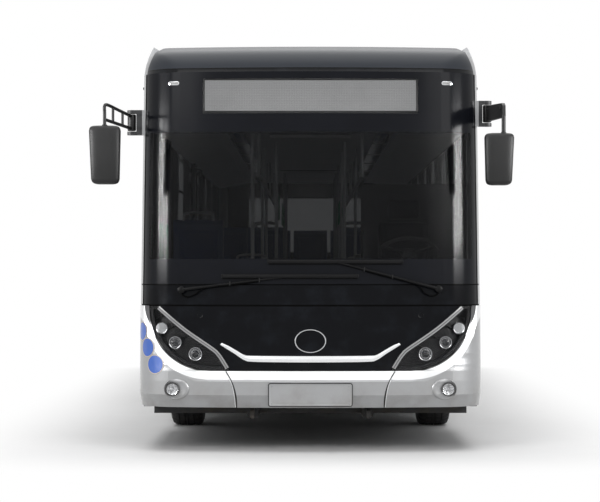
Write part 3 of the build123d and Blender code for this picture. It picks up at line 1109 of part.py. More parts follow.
def body_nodes():
    corner_skin = bumper_side().cut(fog_hole())
    lens, lamp, fog = headlamp_lens(), headlamp_housing(), fog_lamp()
    centre = fused([bumper_centre(), number_plate_panel()])
    cowl_panel, flap, glass = cowl(), front_flap(), windscreen()
    # Each row is one stay from the bulkhead to a nose panel: x, z, panel.
    stays = []
    for x, z, panel in [(430, 465, centre), (900, 465, corner_skin), (450, 900, flap)]:
        stay = block(x - 35, x + 35, FRONT_Y + 12, BULKHEAD_Y, z - 35, z + 35).cut(panel)
        stay = max(stay.solids(), key=lambda solid: solid.center().Y)
        stays += [stay, other_side(stay)]
    frame = fused([front_frame(), mirror_bracket("left"), mirror_bracket("right"), *stays]).cut(glass)
    return {
        "front_frame": frame,
        "windscreen": glass,
        "front_cap": front_cap(),
        "cowl_panel": cowl_panel,
        "front_flap": flap,
        "bumper_centre": centre,
        "bumper_corners": group([corner_skin, other_side(corner_skin)]),
        "headlamp_lenses": group([lens, other_side(lens)]),
        "front_lamps": group([lamp, other_side(lamp), fog, other_side(fog)]),
        "destination_display": destination_display(),
        "side_wall_left": side_wall(LEFT_BAYS, []),
        "side_wall_right": other_side(side_wall(RIGHT_BAYS, [FRONT_DOOR_Y, MIDDLE_DOOR_Y])),
        "window_glass": group([side_glass(LEFT_BAYS), other_side(side_glass(RIGHT_BAYS)), rear_glass()]),
        "roof": roof(),
        "aircon_unit": aircon().cut(roof()),
        "roof_hatch_front": roof_hatch(ROOF_HATCHES[0]),
        "roof_hatch_rear": roof_hatch(ROOF_HATCHES[1]),
        "ceiling": ceiling(),
        "rear_wall": rear_wall(),
        "rear_cap": rear_cap(),
        "rear_hatch": rear_hatch(),
        "rear_lamps": rear_lamps(),
        "cabin_floor": cabin_floor(),
        "underframe": underframe(),
        "drive_units": drive_units(),
        "wipers": group([wiper(*row).cut(cowl_panel) for row in WIPERS]),
        "mirror_left": outside_mirror("left"),
        "mirror_right": outside_mirror("right"),
        "dashboard": dashboard(),
        "driver_seat": driver_seat(),
        "steering_wheel": steering_wheel(),
        "driver_partition": driver_partition(),
        "passenger_seats": passenger_seats(),
        "handrails": handrails(),
    }


def running_gear():
    front, rear, left_knuckle = front_wheel(), rear_wheel(), knuckle()
    front_tyre = tyre(FRONT_WHEEL_X, FRONT_AXLE_Y)
    rear_tyres = group([tyre(REAR_INNER_X, REAR_AXLE_Y), tyre(REAR_OUTER_X, REAR_AXLE_Y)])
    return {
        "front_axle": front_axle(),
        "rear_axle": rear_axle(),
        "knuckle_left": left_knuckle,
        "knuckle_right": other_side(left_knuckle),
        "rim_front_left": front,
        "rim_front_right": other_side(front),
        "rim_rear_left": rear,
        "rim_rear_right": other_side(rear),
        "tyre_front_left": front_tyre,
        "tyre_front_right": other_side(front_tyre),
        "tyres_rear_left": rear_tyres,
        "tyres_rear_right": other_side(rear_tyres),
    }


def doors():
    nodes = {}
    for doorway_name, y in (("front", FRONT_DOOR_Y), ("middle", MIDDLE_DOOR_Y)):
        for end, leaf in enumerate(("a", "b")):
            nodes[f"{doorway_name}_door_arm_{leaf}"] = doorway(door_pillar, y, end)
            nodes[f"{doorway_name}_door_leaf_{leaf}"] = doorway(door_leaf, y, end)
            nodes[f"{doorway_name}_door_glass_{leaf}"] = doorway(door_glass, y, end)
    return nodes


save({**body_nodes(), **running_gear(), **doors()})
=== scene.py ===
from math import asin, cos, hypot, pi, radians, sin, sqrt

import bmesh
import bpy
from mathutils import Matrix, Vector


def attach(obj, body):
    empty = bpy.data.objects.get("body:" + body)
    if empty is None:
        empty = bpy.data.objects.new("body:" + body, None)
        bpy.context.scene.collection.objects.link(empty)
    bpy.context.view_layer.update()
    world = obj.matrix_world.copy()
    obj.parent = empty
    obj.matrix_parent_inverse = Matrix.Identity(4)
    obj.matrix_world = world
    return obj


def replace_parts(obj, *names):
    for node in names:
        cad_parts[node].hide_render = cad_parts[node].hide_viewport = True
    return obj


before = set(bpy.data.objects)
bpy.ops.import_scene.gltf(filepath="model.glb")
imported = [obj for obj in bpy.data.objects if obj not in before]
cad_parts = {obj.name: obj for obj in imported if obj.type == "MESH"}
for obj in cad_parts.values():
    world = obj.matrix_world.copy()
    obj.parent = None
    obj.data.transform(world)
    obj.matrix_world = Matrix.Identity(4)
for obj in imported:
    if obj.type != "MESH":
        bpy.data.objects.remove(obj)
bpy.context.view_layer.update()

# A low-floor city bus seen from the front, in metres: +X is its left side, -Y its front, Z up.

# Nose outline and seams, as in the solids
FRONT_Y, REAR_Y, HALF_WIDTH = -6.0, 6.0, 1.275
NOSE_RADIUS, CORNER_RADIUS = 6.0, 0.35
# Each row is one level of the front skin: z, half width, setback from the foremost point.
SKIN_LEVELS = [(0.326, 1.265, 0.060), (0.420, 1.275, 0.005), (0.520, 1.275, 0.0), (0.594, 1.275, 0.050),
               (1.076, 1.275, 0.070), (1.226, 1.2737, 0.080), (2.800, 1.259, 0.180)]
FLAP_Z0, FLAP_Z1 = 0.594, 1.076
AXLE_Z, FRONT_AXLE_Y, REAR_AXLE_Y = 0.479, -3.3, 2.6
FRONT_WHEEL_X, REAR_OUTER_X, REAR_INNER_X = 1.050, 1.085, 0.774
TYRE_RADIUS, DISC_OFFSET = 0.479, 0.154


def level_at(z):
    """Half width and setback of the front skin at height z."""
    for (z0, w0, s0), (z1, w1, s1) in zip(SKIN_LEVELS, SKIN_LEVELS[1:]):
        if z <= z1:
            t = max(0.0, (z - z0) / (z1 - z0))
            return w0 + (w1 - w0) * t, s0 + (s1 - s0) * t
    return SKIN_LEVELS[-1][1:]


def plan_y(x, half_width, setback):
    cx = half_width - CORNER_RADIUS
    cy = setback + NOSE_RADIUS - sqrt((NOSE_RADIUS - CORNER_RADIUS) ** 2 - cx ** 2)
    if abs(x) <= NOSE_RADIUS * cx / (NOSE_RADIUS - CORNER_RADIUS):
        return setback + NOSE_RADIUS - sqrt(NOSE_RADIUS ** 2 - x * x)
    return cy - sqrt(max(CORNER_RADIUS ** 2 - (abs(x) - cx) ** 2, 0.0))


def skin(x, z, lift=0.0):
    """A point on the front skin, lift in front of it."""
    return Vector((x, FRONT_Y + plan_y(x, *level_at(z)) - lift, z))


def skin_normal(x, z):
    du = skin(x + 0.004, z) - skin(x - 0.004, z)
    dv = skin(x, z + 0.004) - skin(x, z - 0.004)
    return du.cross(dv).normalized()


# Finishes

class Value:
    """One output of a finish's node, with the sums that the finish is written in."""

    def __init__(self, finish, socket):
        self.finish, self.socket = finish, socket

    def sum(self, operation, *terms, clamp=False):
        sockets = dict(zip(("Value", "Value_001", "Value_002"), terms))
        return self.finish.node("Math", {"operation": operation, "use_clamp": clamp}, sockets)

    def __add__(self, other):
        return self.sum("ADD", self, other)

    def __sub__(self, other):
        return self.sum("SUBTRACT", self, other)

    def __rsub__(self, other):
        return self.sum("SUBTRACT", other, self)

    def __mul__(self, other):
        return self.sum("MULTIPLY", self, other)

    def __pow__(self, other):
        return self.sum("POWER", self, other)

    def __gt__(self, other):
        return self.sum("GREATER_THAN", self, other)

    def __mod__(self, other):
        return self.sum("FLOORED_MODULO", self, other)

    def __abs__(self):
        return self.sum("ABSOLUTE", self)

    def __or__(self, other):
        return self.sum("MAXIMUM", self, other)

    __radd__, __rmul__ = __add__, __mul__


class Finish:
    """A material in the making; place is where a point sits on the bus, as x, y and z."""

    def __init__(self, name, owner=None):
        self.owner = owner or bpy.data.materials.new(name)
        self.owner.use_nodes = True
        self.tree = self.owner.node_tree
        self.tree.nodes.clear()
        if owner is None:
            self.place = self.node("TexCoord", out="Object")
            self.x, self.y, self.z = (self.node("SeparateXYZ", {}, {"Vector": self.place}, out=axis)
                                      for axis in "XYZ")

    def node(self, kind, settings=None, sockets=None, out=0):
        """Adds a node, its settings first and then the values or links of its sockets, and gives one output."""
        made = self.tree.nodes.new("ShaderNode" + kind)
        for key, value in (settings or {}).items():
            setattr(made, key, value)
        for key, value in (sockets or {}).items():
            socket = next((s for s in made.inputs if s.identifier == key), None) or made.inputs[key]
            if isinstance(value, Value):
                self.tree.links.new(value.socket, socket)
            elif socket.type == "RGBA" and len(value) == 3:
                socket.default_value = (*value, 1.0)
            else:
                socket.default_value = value
        return Value(self, made.outputs[out]) if made.outputs else made

    def grain(self, scale, detail=3.0, stretch=None):
        where = self.place
        if stretch:
            where = self.node("VectorMath", {"operation": "MULTIPLY"}, {"Vector": where, "Vector_001": stretch})
        return self.node("TexNoise", {}, {"Vector": where, "Scale": scale, "Detail": detail, "Roughness": 0.55})

    def cells(self, scale):
        return self.node("TexVoronoi", {"feature": "F1"}, {"Vector": self.place, "Scale": scale}, out="Distance")

    def step(self, value, low, high):
        return self.node("MapRange", {"interpolation_type": "SMOOTHSTEP"},
                         {"Value": value, "From Min": low, "From Max": high, "To Min": 0.0, "To Max": 1.0})

    def band(self, value, low, high, soft):
        """1 between low and high, fading over soft."""
        return self.step(value, low - soft, low) * (1 - self.step(value, high, high + soft))

    def lines(self, value, pitch, width, shift=0.0):
        """1 in a line of that width at every pitch along value."""
        return abs((value + (shift + 50 * pitch)) % pitch - pitch / 2) > (pitch - width) / 2

    def mix(self, share, first, second):
        """first where share is 0, second where it is 1, as colours."""
        return self.node("Mix", {"data_type": "RGBA", "clamp_factor": True},
                         {"Factor_Float": share, "A_Color": first, "B_Color": second}, out=2)

    def bump(self, height, depth):
        return self.node("Bump", {}, {"Height": height, "Distance": depth, "Strength": 1.0})

    def shader(self, colour, rough, metal=0.0, normal=None, **fixed):
        sockets = {"Base Color": colour, "Roughness": rough, "Metallic": metal}
        if normal:
            sockets["Normal"] = normal
        sockets.update({key.replace("_", " "): value for key, value in fixed.items()})
        return self.node("BsdfPrincipled", {}, sockets)

    def finished(self, surface):
        self.node("OutputMaterial", {}, {"Surface": surface})
        return self.owner


def road_dust(f, colour, rough, top=0.75, strength=0.55):
    """Dull dust low down on the outside."""
    dust = (1 - f.step(f.z, 0.15, top)) * f.step(f.grain(5.0, 6.0), 0.35, 0.75) * strength
    return f.mix(dust, colour, (0.16, 0.145, 0.12)), rough + dust * 0.45, dust


def lamp_reach(f, x, z, flare):
    """Distance from the headlamp's own centre, less a flare near the lamp's top."""
    outward, up = (abs(f.x) - x) | 0.0, f.z - z
    return (outward * outward + up * up) ** 0.5 - f.step(f.z, 0.88, 1.07) * flare


def white_band_and_painted_highlight(f):
    """The near-white band under the flap and up beside the headlamps: white paint, and on the upward slope under
    the flap partly a painted highlight of the light from above.
    """
    within = 1 - f.step(lamp_reach(f, 0.750, 1.020, 0.055), 0.4855, 0.4870)
    ahead = 1 - f.step(f.y, -5.60, -5.58)
    return within * f.step(f.z, 0.5195, 0.5205) * (1 - f.step(f.z, FLAP_Z1, FLAP_Z1 + 0.002)) * ahead


def lamp_border(f):
    """Black edge that the headlamp's lens runs into."""
    return (1 - f.step(lamp_reach(f, 0.740, 1.050, 0.030), 0.4600, 0.4612)) * f.step(f.z, 0.596, 0.600)


def paint(name, colour, metal, rough, seams=None, glazing_and_painted_shade=None, band=None, black_rough=0.1):
    """Sprayed body paint with fine flake, a trace of orange peel and road dust along its foot."""
    f = Finish(name)
    coat = 0.5
    flake = f.grain(2600.0, 1.0)
    cloud = f.grain(1.3, 2.0)
    dark = tuple(c * 0.93 for c in colour)
    base = f.mix(f.step(flake, 0.3, 0.7) * 0.55 + cloud * 0.25, dark, colour)
    height = f.grain(170.0, 1.0)
    shine = rough + (flake - 0.5) * 0.06 + (f.grain(9.0, 4.0) - 0.5) * 0.08
    if band:
        # Near-white band; on the upward slope under the flap it is partly a painted highlight.
        base = f.mix(band(f), base, (0.86, 0.87, 0.88))
        base = f.mix(lamp_border(f), base, (0.006, 0.006, 0.008))
    seam = seams(f) if seams else None
    if seam:
        base = f.mix(seam, base, (0.02, 0.02, 0.022))
        shine = shine | seam * 0.6
    if glazing_and_painted_shade:
        # Black band round the windows; on the pillars, painted shade on the frame inside the nose and black
        # mirror brackets.
        pane = glazing_and_painted_shade(f)
        base = f.mix(pane, base, (0.008, 0.009, 0.011))
        shine = shine * (1 - pane) + pane * black_rough
        metallic = (1 - pane) * metal
        coat = (1 - pane) * coat
    else:
        metallic = metal
    base, shine, _ = road_dust(f, base, shine)
    return f.finished(f.shader(base, shine, metallic, f.bump(height, 0.00006), Coat_Weight=coat,
                               Coat_Roughness=0.08, Specular_IOR_Level=0.5))


def gloss_black(name):
    """Deep black lacquer over moulded panels."""
    f = Finish(name)
    smear = f.step(f.grain(7.0, 5.0), 0.45, 0.8)
    base = f.mix(smear * 0.5, (0.0045, 0.005, 0.0065), (0.014, 0.017, 0.022))
    shine = 0.09 + smear * 0.05 + f.grain(420.0, 2.0) * 0.03
    return f, base, shine


def panel_black():
    f, base, shine = gloss_black("flap_black")
    base, shine, _ = road_dust(f, base, shine, 0.8, 0.12)
    return f.finished(f.shader(base, shine, 0.0, f.bump(f.grain(150.0, 1.0), 0.00004), Specular_IOR_Level=0.08))


def cap_paint():
    """Black lacquer across the roof cap, silver towards both of its ends; above the windscreen a slate grey that
    is painted lighter towards the top as painted light from above.
    """
    f, base, shine = gloss_black("cap_black")
    across = abs(f.x)
    edge = 1.224 - f.step(f.z, 2.80, 3.02) * 0.062
    silver = f.step(across - edge, -0.001, 0.001)
    above = f.step(f.z, 2.8290, 2.8300)
    # Slate grey that grows lighter upwards: the lightening is painted light from above.
    slate_and_painted_light = f.mix(f.step(f.z, 2.83, 2.99), (0.022, 0.026, 0.034), (0.060, 0.064, 0.070))
    base = f.mix(above, base, slate_and_painted_light)
    base = f.mix(f.band(f.z, 2.8215, 2.8285, 0.0006), base, (0.001, 0.001, 0.001))
    base = f.mix(silver, base, (0.375, 0.380, 0.388))
    shine = (shine * (1 - above) + above * 0.34) * (1 - silver) + silver * 0.3
    return f.finished(f.shader(base, shine, silver * 0.35, f.bump(f.grain(150.0, 1.0), 0.00005),
                               Specular_IOR_Level=0.20))


def two(f, share, first, second):
    """One shader where share is 0 and the other where it is 1."""
    return f.node("MixShader", {}, {"Fac": share, "Shader": first, "Shader_001": second})


def pane(f, tint, gloss=0.14):
    """Clear glass: tinted light through it under a faint even gloss."""
    film = f.grain(3.0, 4.0)
    through = f.node("BsdfTransparent", {}, {"Color": (*tint, 1.0)})
    sheen = f.shader((0.010, 0.011, 0.013), 0.10 + film * 0.05, Specular_IOR_Level=0.45)
    return two(f, gloss + f.step(film, 0.5, 0.8) * 0.03, through, sheen)


def screen_glass():
    """Laminated windscreen: a black ceramic border that ends in dots, round a clear middle."""
    f = Finish("windscreen_glass")
    across, up = abs(f.x), f.z
    clear = (1 - f.step(across, 1.185, 1.215)) * f.step(up, 1.395, 1.43) * (1 - f.step(up, 2.335, 2.38))
    display = (1 - f.step(across, 0.796, 0.798)) * f.band(up, 2.490, 2.748, 0.002)
    dots = f.node("TexVoronoi", {"feature": "F1"}, {"Vector": f.place, "Scale": 150.0, "Randomness": 0.0})
    open_share = f.step(clear - dots * 0.6, 0.3, 0.42) | display
    film = f.grain(3.0, 4.0)
    black = f.shader(f.mix(film, (0.005, 0.0055, 0.0075), (0.009, 0.010, 0.014)), 0.12 + film * 0.08,
                     Specular_IOR_Level=0.10)
    return f.finished(two(f, open_share, black, pane(f, (0.73, 0.73, 0.73))))


def side_window_glass():
    f = Finish("window_glass")
    return f.finished(pane(f, (0.33, 0.335, 0.34), 0.2))


def lamp_glass():
    f = Finish("lamp_glass")
    return f.finished(pane(f, (0.92, 0.92, 0.92), 0.10))


def chrome(name="bright_trim", colour=(0.72, 0.73, 0.75), rough=0.14):
    """Plated plastic with faint wipe marks."""
    f = Finish(name)
    wipe = f.grain(60.0, 4.0, (1.0, 8.0, 1.0))
    base = f.mix(f.step(wipe, 0.3, 0.8) * 0.4, colour, tuple(c * 0.8 for c in colour))
    return f.finished(f.shader(base, rough + wipe * 0.08, 0.9, f.bump(wipe, 0.00003)))


def moulded(name, colour, rough=0.55, leather=900.0, depth=0.00012, low_dust=0.0, shine_level=0.4):
    """Moulded plastic with a fine leather grain, a little paler where it has been rubbed."""
    f = Finish(name)
    pebble = f.cells(leather)
    cloud = f.grain(6.0, 4.0)
    base = f.mix(f.step(cloud, 0.4, 0.75) * 0.35, colour, tuple(min(1.0, c * 1.4 + 0.003) for c in colour))
    shine = rough + (cloud - 0.5) * 0.12
    if low_dust:
        base, shine, _ = road_dust(f, base, shine, 1.2, low_dust)
    return f.finished(f.shader(base, shine, 0.0, f.bump(pebble, depth), Specular_IOR_Level=shine_level))


def rubber(name):
    """Dull rubber, greyed where dust has settled."""
    f = Finish(name)
    bloom = f.step(f.grain(14.0, 6.0), 0.4, 0.8)
    base = f.mix(bloom * 0.55, (0.016, 0.016, 0.017), (0.055, 0.052, 0.048))
    base, shine, _ = road_dust(f, base, 0.62 + bloom * 0.2, 0.95, 0.35)
    return f.finished(f.shader(base, shine, 0.0, f.bump(f.grain(700.0, 2.0), 0.0002), Specular_IOR_Level=0.3))


def chassis_paint():
    """Black chassis paint under caked road dust."""
    f = Finish("chassis_paint")
    cake = f.step(f.grain(7.0, 8.0), 0.38, 0.72)
    base = f.mix(cake * 0.65, (0.014, 0.014, 0.015), (0.085, 0.074, 0.060))
    return f.finished(f.shader(base, 0.55 + cake * 0.35, 0.0, f.bump(f.grain(90.0, 6.0), 0.0012)))


def cast_iron():
    f = Finish("cast_iron")
    rust = f.step(f.grain(11.0, 8.0), 0.52, 0.72)
    base = f.mix(rust * 0.7, (0.045, 0.044, 0.043), (0.16, 0.072, 0.032))
    return f.finished(f.shader(base, 0.5 + rust * 0.35, 0.55 - rust * 0.5, f.bump(f.grain(240.0, 5.0), 0.0007)))


def wheel_paint():
    """Silver wheel enamel with brake dust in its hollows and a few chips."""
    f = Finish("wheel_silver")
    soot = f.step(f.grain(9.0, 6.0), 0.42, 0.78)
    chip = f.step(f.grain(95.0, 3.0), 0.70, 0.74)
    base = f.mix(soot * 0.6, (0.46, 0.47, 0.48), (0.11, 0.095, 0.08))
    base = f.mix(chip, base, (0.10, 0.055, 0.035))
    return f.finished(f.shader(base, 0.38 + soot * 0.3, 0.55 - soot * 0.35, f.bump(f.grain(320.0, 2.0), 0.0002)))


def tyre_rubber():
    f = Finish("tyre_rubber")
    dust = f.step(f.grain(12.0, 6.0), 0.35, 0.8)
    base = f.mix(dust * 0.6, (0.013, 0.013, 0.014), (0.050, 0.046, 0.041))
    return f.finished(f.shader(base, 0.66 + dust * 0.2, 0.0, f.bump(f.grain(380.0, 4.0), 0.0005),
                               Specular_IOR_Level=0.25))


def aluminium(name="door_frame", colour=(0.30, 0.31, 0.32), rough=0.36):
    """Brushed or anodised metal; the brushing runs up the piece."""
    f = Finish(name)
    brush = f.grain(30.0, 4.0, (30.0, 30.0, 1.0))
    base = f.mix(f.step(brush, 0.3, 0.7), colour, tuple(c * 1.25 for c in colour))
    return f.finished(f.shader(base, rough + (brush - 0.5) * 0.14, 0.85, f.bump(brush, 0.00008)))


def powder_coat(name, colour):
    """Powder-coated tube: fine orange peel, hands have polished it in places."""
    f = Finish(name)
    worn = f.step(f.grain(4.0, 4.0), 0.5, 0.75)
    base = f.mix(worn * 0.35, colour, tuple(c * 0.75 for c in colour))
    return f.finished(f.shader(base, 0.34 - worn * 0.1, 0.0, f.bump(f.grain(900.0, 1.0), 0.00015)))


def vinyl_floor():
    """Flecked safety vinyl with worn lanes."""
    f = Finish("vinyl_floor")
    fleck = f.step(f.cells(420.0), 0.18, 0.24)
    worn = f.step(f.grain(2.2, 5.0), 0.45, 0.7)
    base = f.mix(fleck, (0.32, 0.34, 0.35), (0.085, 0.092, 0.100))
    base = f.mix(worn * 0.4, base, (0.105, 0.098, 0.088))
    return f.finished(f.shader(base, 0.5 + worn * 0.18, 0.0, f.bump(f.cells(900.0), 0.0002)))


def ceiling_panel():
    f = Finish("ceiling_panel")
    joint = f.lines(f.y, 1.16, 0.006)
    base = f.mix(joint, f.mix(f.grain(2.0, 3.0), (0.66, 0.67, 0.66), (0.72, 0.72, 0.71)), (0.10, 0.10, 0.10))
    return f.finished(f.shader(base, 0.55, 0.0, f.bump(f.grain(500.0, 2.0), 0.0001)))


def seat_plastic():
    return moulded("seat_shell_blue", (0.012, 0.040, 0.125), 0.4, 1400.0, 0.00008)


def seat_fabric(name="seat_fabric", colour=(0.018, 0.045, 0.15), fleck=(0.08, 0.16, 0.32)):
    """Flat-woven moquette with small flecks."""
    f = Finish(name)
    weft = abs(f.lines(f.x, 0.0016, 0.0008) - f.lines(f.z + f.y, 0.0016, 0.0008))
    spot = 1 - f.step(f.cells(95.0), 0.16, 0.22)
    base = f.mix(spot * 0.7, colour, fleck)
    base = f.mix(f.grain(5.0, 4.0) * 0.35, base, tuple(c * 0.5 for c in colour))
    return f.finished(f.shader(base, 0.9, 0.0, f.bump(weft * 0.6 + f.grain(1500.0, 2.0) * 0.4, 0.0005),
                               Sheen_Weight=0.25, Sheen_Roughness=0.4, Specular_IOR_Level=0.2))


def display_matrix_painted_glow():
    """Grey dot matrix of the destination display, switched off, lightened by a painted glow from its emission.
    """
    f = Finish("display_matrix_painted_glow")
    pitch = 0.0125
    dx = (f.x + 50 * pitch) % pitch - pitch / 2
    dz = (f.z + 50 * pitch) % pitch - pitch / 2
    dot = 1 - f.step((dx * dx + dz * dz) ** 0.5, 0.0036, 0.0050)
    row = f.lines(f.z, pitch * 8, 0.002)
    base = f.mix(dot, (0.46, 0.46, 0.455), (0.26, 0.26, 0.255))
    base = f.mix(row * 0.5, base, (0.2, 0.2, 0.2))
    # The emission is a painted glow: the display is switched off.
    return f.finished(f.shader(base, 0.5, 0.0, f.bump(1 - dot, 0.0008), Emission_Color=(0.50, 0.505, 0.51, 1.0),
                               Emission_Strength=1.15))


def lamp_lens(name, colour, glow=0.0, ribs=0.006):
    """Coloured or clear moulded lens with fine ribs on its inside."""
    f = Finish(name)
    rib = f.lines(f.z, ribs, ribs * 0.4)
    base = f.mix(rib, colour, tuple(c * 0.6 for c in colour))
    return f.finished(f.shader(base, 0.12 + f.grain(40.0, 3.0) * 0.08, 0.0, f.bump(rib, 0.0006), Coat_Weight=0.6,
                               Coat_Roughness=0.03, Emission_Color=(*colour, 1.0), Emission_Strength=glow))


def reflector(name="reflector", colour=(0.60, 0.61, 0.63)):
    f = Finish(name)
    facet = f.cells(95.0)
    base = f.mix(facet, colour, tuple(c * 0.35 for c in colour))
    return f.finished(f.shader(base, 0.12 + facet * 0.1, 0.9, f.bump(facet, 0.002)))


def lamp_bowl():
    """Dark lamp surround, moulded with small cells."""
    f = Finish("lamp_surround")
    cell = f.node("TexVoronoi", {"feature": "DISTANCE_TO_EDGE"}, {"Vector": f.place, "Scale": 120.0})
    line = 1 - f.step(cell, 0.02, 0.09)
    base = f.mix(line, (0.009, 0.009, 0.010), (0.045, 0.046, 0.050))
    return f.finished(f.shader(base, 0.28 + line * 0.2, 0.3, f.bump(line, 0.0012)))


def decal():
    """Blank round sign: blue with a pale rim."""
    f = Finish("blue_sign")
    worn = f.grain(60.0, 5.0)
    base = f.mix(f.step(worn, 0.5, 0.8) * 0.25, (0.012, 0.115, 0.56), (0.04, 0.17, 0.60))
    return f.finished(f.shader(base, 0.28 + worn * 0.1, 0.0, f.bump(worn, 0.00005), Coat_Weight=0.3))


# Shapes

def mesh_piece(name, verts, faces, finish, body="bus", angle=35.0):
    """A mesh from points and faces, smooth except across edges sharper than angle."""
    data = bpy.data.meshes.new(name)
    data.from_pydata([tuple(v) for v in verts], [], faces)
    built = bmesh.new()
    built.from_mesh(data)
    bmesh.ops.remove_doubles(built, verts=built.verts, dist=1e-6)
    bmesh.ops.recalc_face_normals(built, faces=built.faces)
    built.to_mesh(data)
    built.free()
    data.materials.append(finish)
    data.shade_smooth()
    data.set_sharp_from_angle(angle=radians(angle))
    piece = bpy.data.objects.new(name, data)
    bpy.context.scene.collection.objects.link(piece)
    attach(piece, body)
    return piece


class Build:
    """Points and faces gathered from several simple forms into one piece."""

    def __init__(self):
        self.verts, self.faces = [], []

    def add(self, verts, faces):
        start = len(self.verts)
        self.verts += [Vector(v) for v in verts]
        self.faces += [tuple(start + i for i in face) for face in faces]
        return self

    def grid(self, rows, close_u=False, close_v=False):
        """A skin over rows of points; close_u joins each row's ends and close_v the last row to the first."""
        n, m = len(rows), len(rows[0])
        faces = []
        for i in range(n if close_v else n - 1):
            for j in range(m if close_u else m - 1):
                a, b = i * m + j, i * m + (j + 1) % m
                c, d = (i + 1) % n * m + (j + 1) % m, (i + 1) % n * m + j
                faces.append((a, b, c, d))
        return self.add([p for row in rows for p in row], faces)

    def tube(self, points, radius, sides=10):
        """A round bar along points; radius is a number or one for each point."""
        points = [Vector(p) for p in points]
        radii = radius if hasattr(radius, "__len__") else [radius] * len(points)
        rows, across = [], None
        for i, p in enumerate(points):
            along = (points[min(i + 1, len(points) - 1)] - points[max(i - 1, 0)]).normalized()
            across = across or along.orthogonal()
            across = (across - along * across.dot(along)).normalized()
            up = along.cross(across)
            rows.append([p + radii[i] * (cos(2 * pi * k / sides) * across + sin(2 * pi * k / sides) * up)
                         for k in range(sides)])
        self.grid(rows, close_u=True)
        start = len(self.verts) - len(rows) * sides
        self.faces.append(tuple(range(start, start + sides)))
        self.faces.append(tuple(range(len(self.verts) - sides, len(self.verts))))
        return self

    def turned(self, profile, centre, axis, sides=32, squash=1.0, up=None):
        """A turned form: profile rows are (distance along the axis, radius); squash flattens it along up."""
        axis = Vector(axis).normalized()
        up = Vector(up).normalized() if up else axis.orthogonal().normalized()
        side = axis.cross(up)
        rows = [[Vector(centre) + axis * a + max(r, 1e-5) * (cos(2 * pi * k / sides) * side
                 + squash * sin(2 * pi * k / sides) * up) for k in range(sides)] for a, r in profile]
        return self.grid(rows, close_u=True)

    def box(self, x0, x1, y0, y1, z0, z1, edge=0.0):
        """A box whose edges are taken off by edge."""
        made = bmesh.new()
        middle = Matrix.Translation(((x0 + x1) / 2, (y0 + y1) / 2, (z0 + z1) / 2))
        size = Matrix.Diagonal((abs(x1 - x0), abs(y1 - y0), abs(z1 - z0), 1.0))
        bmesh.ops.create_cube(made, size=1.0, matrix=middle @ size)
        if edge:
            bmesh.ops.bevel(made, geom=made.edges[:], offset=edge, segments=2, profile=0.5, affect="EDGES")
        made.verts.index_update()
        self.add([v.co.copy() for v in made.verts], [tuple(v.index for v in face.verts) for face in made.faces])
        made.free()
        return self

    def strip(self, edge_a, edge_b, lift, depth, sides=1):
        """A raised strip on the front skin between two rows of (x, z) points on the side given by sides."""
        front = [[skin(sides * x, z, lift) for x, z in row] for row in (edge_a, edge_b)]
        middle = [(p + q) / 2 + Vector((0, -lift * 0.5, 0)) for p, q in zip(*front)]
        back = [[p + Vector((0, depth + lift, 0)) for p in row] for row in front]
        return self.grid([back[0], front[0], middle, front[1], back[1]], close_v=True)

    def piece(self, name, finish, body="bus", angle=35.0, slot=None):
        return mesh_piece(name, self.verts, self.faces, finish, body, angle)


def smooth_path(points, steps=6):
    """Points along a smooth line through the given ones."""
    pts = [Vector(p) for p in points]
    pts = [pts[0] * 2 - pts[1], *pts, pts[-1] * 2 - pts[-2]]
    path = []
    for a, b, c, d in zip(pts, pts[1:], pts[2:], pts[3:]):
        for k in range(steps):
            t = k / steps
            path.append(0.5 * (2 * b + (c - a) * t + (2 * a - 5 * b + 4 * c - d) * t * t
                               + (3 * b - a - 3 * c + d) * t ** 3))
    return path + [pts[-2]]


def dress(finish, *nodes):
    for node in nodes:
        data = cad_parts[node].data
        data.materials.clear()
        data.materials.append(finish)


# Body finishes on the solids

def side_seams(f):
    """Joints between the side panels: upright ones along the skirt and three lengthways."""
    low = 1 - f.step(f.z, 1.045, 1.047)
    upright = f.lines(f.y, 1.5, 0.005, 0.31) * low
    for low_edge, high_edge in ((0.738, 0.743), (1.046, 1.050), (2.565, 2.568)):
        upright = upright | f.band(f.z, low_edge, high_edge, 0.0005)
    return upright


def side_glazing(f):
    """Black band round the side windows."""
    return f.band(f.z, 1.125, 2.455, 0.0008)


def rear_seams(f):
    return f.band(f.z, 1.300, 1.304, 0.0005) | f.band(f.z, 0.395, 0.399, 0.0005)


def rear_glazing(f):
    return f.band(f.z, 1.47, 2.62, 0.0008) * (1 - f.step(abs(f.x), 1.095, 1.097))


def roof_seams(f):
    return f.lines(f.y, 1.9, 0.008, 0.4) | f.band(abs(f.x), 1.135, 1.141, 0.0005)


def frame_shade_and_brackets(f):
    """What the pillars' silver leaves out: the frame inside the nose, painted black as painted shade for the
    gaps round the flap and cowl, and the mirror brackets.
    """
    across = abs(f.x)
    return (1 - f.step(across, 1.214, 1.216)) | f.step(across, 1.2635, 1.2640) * f.band(f.z, 2.30, 2.65, 0.001)


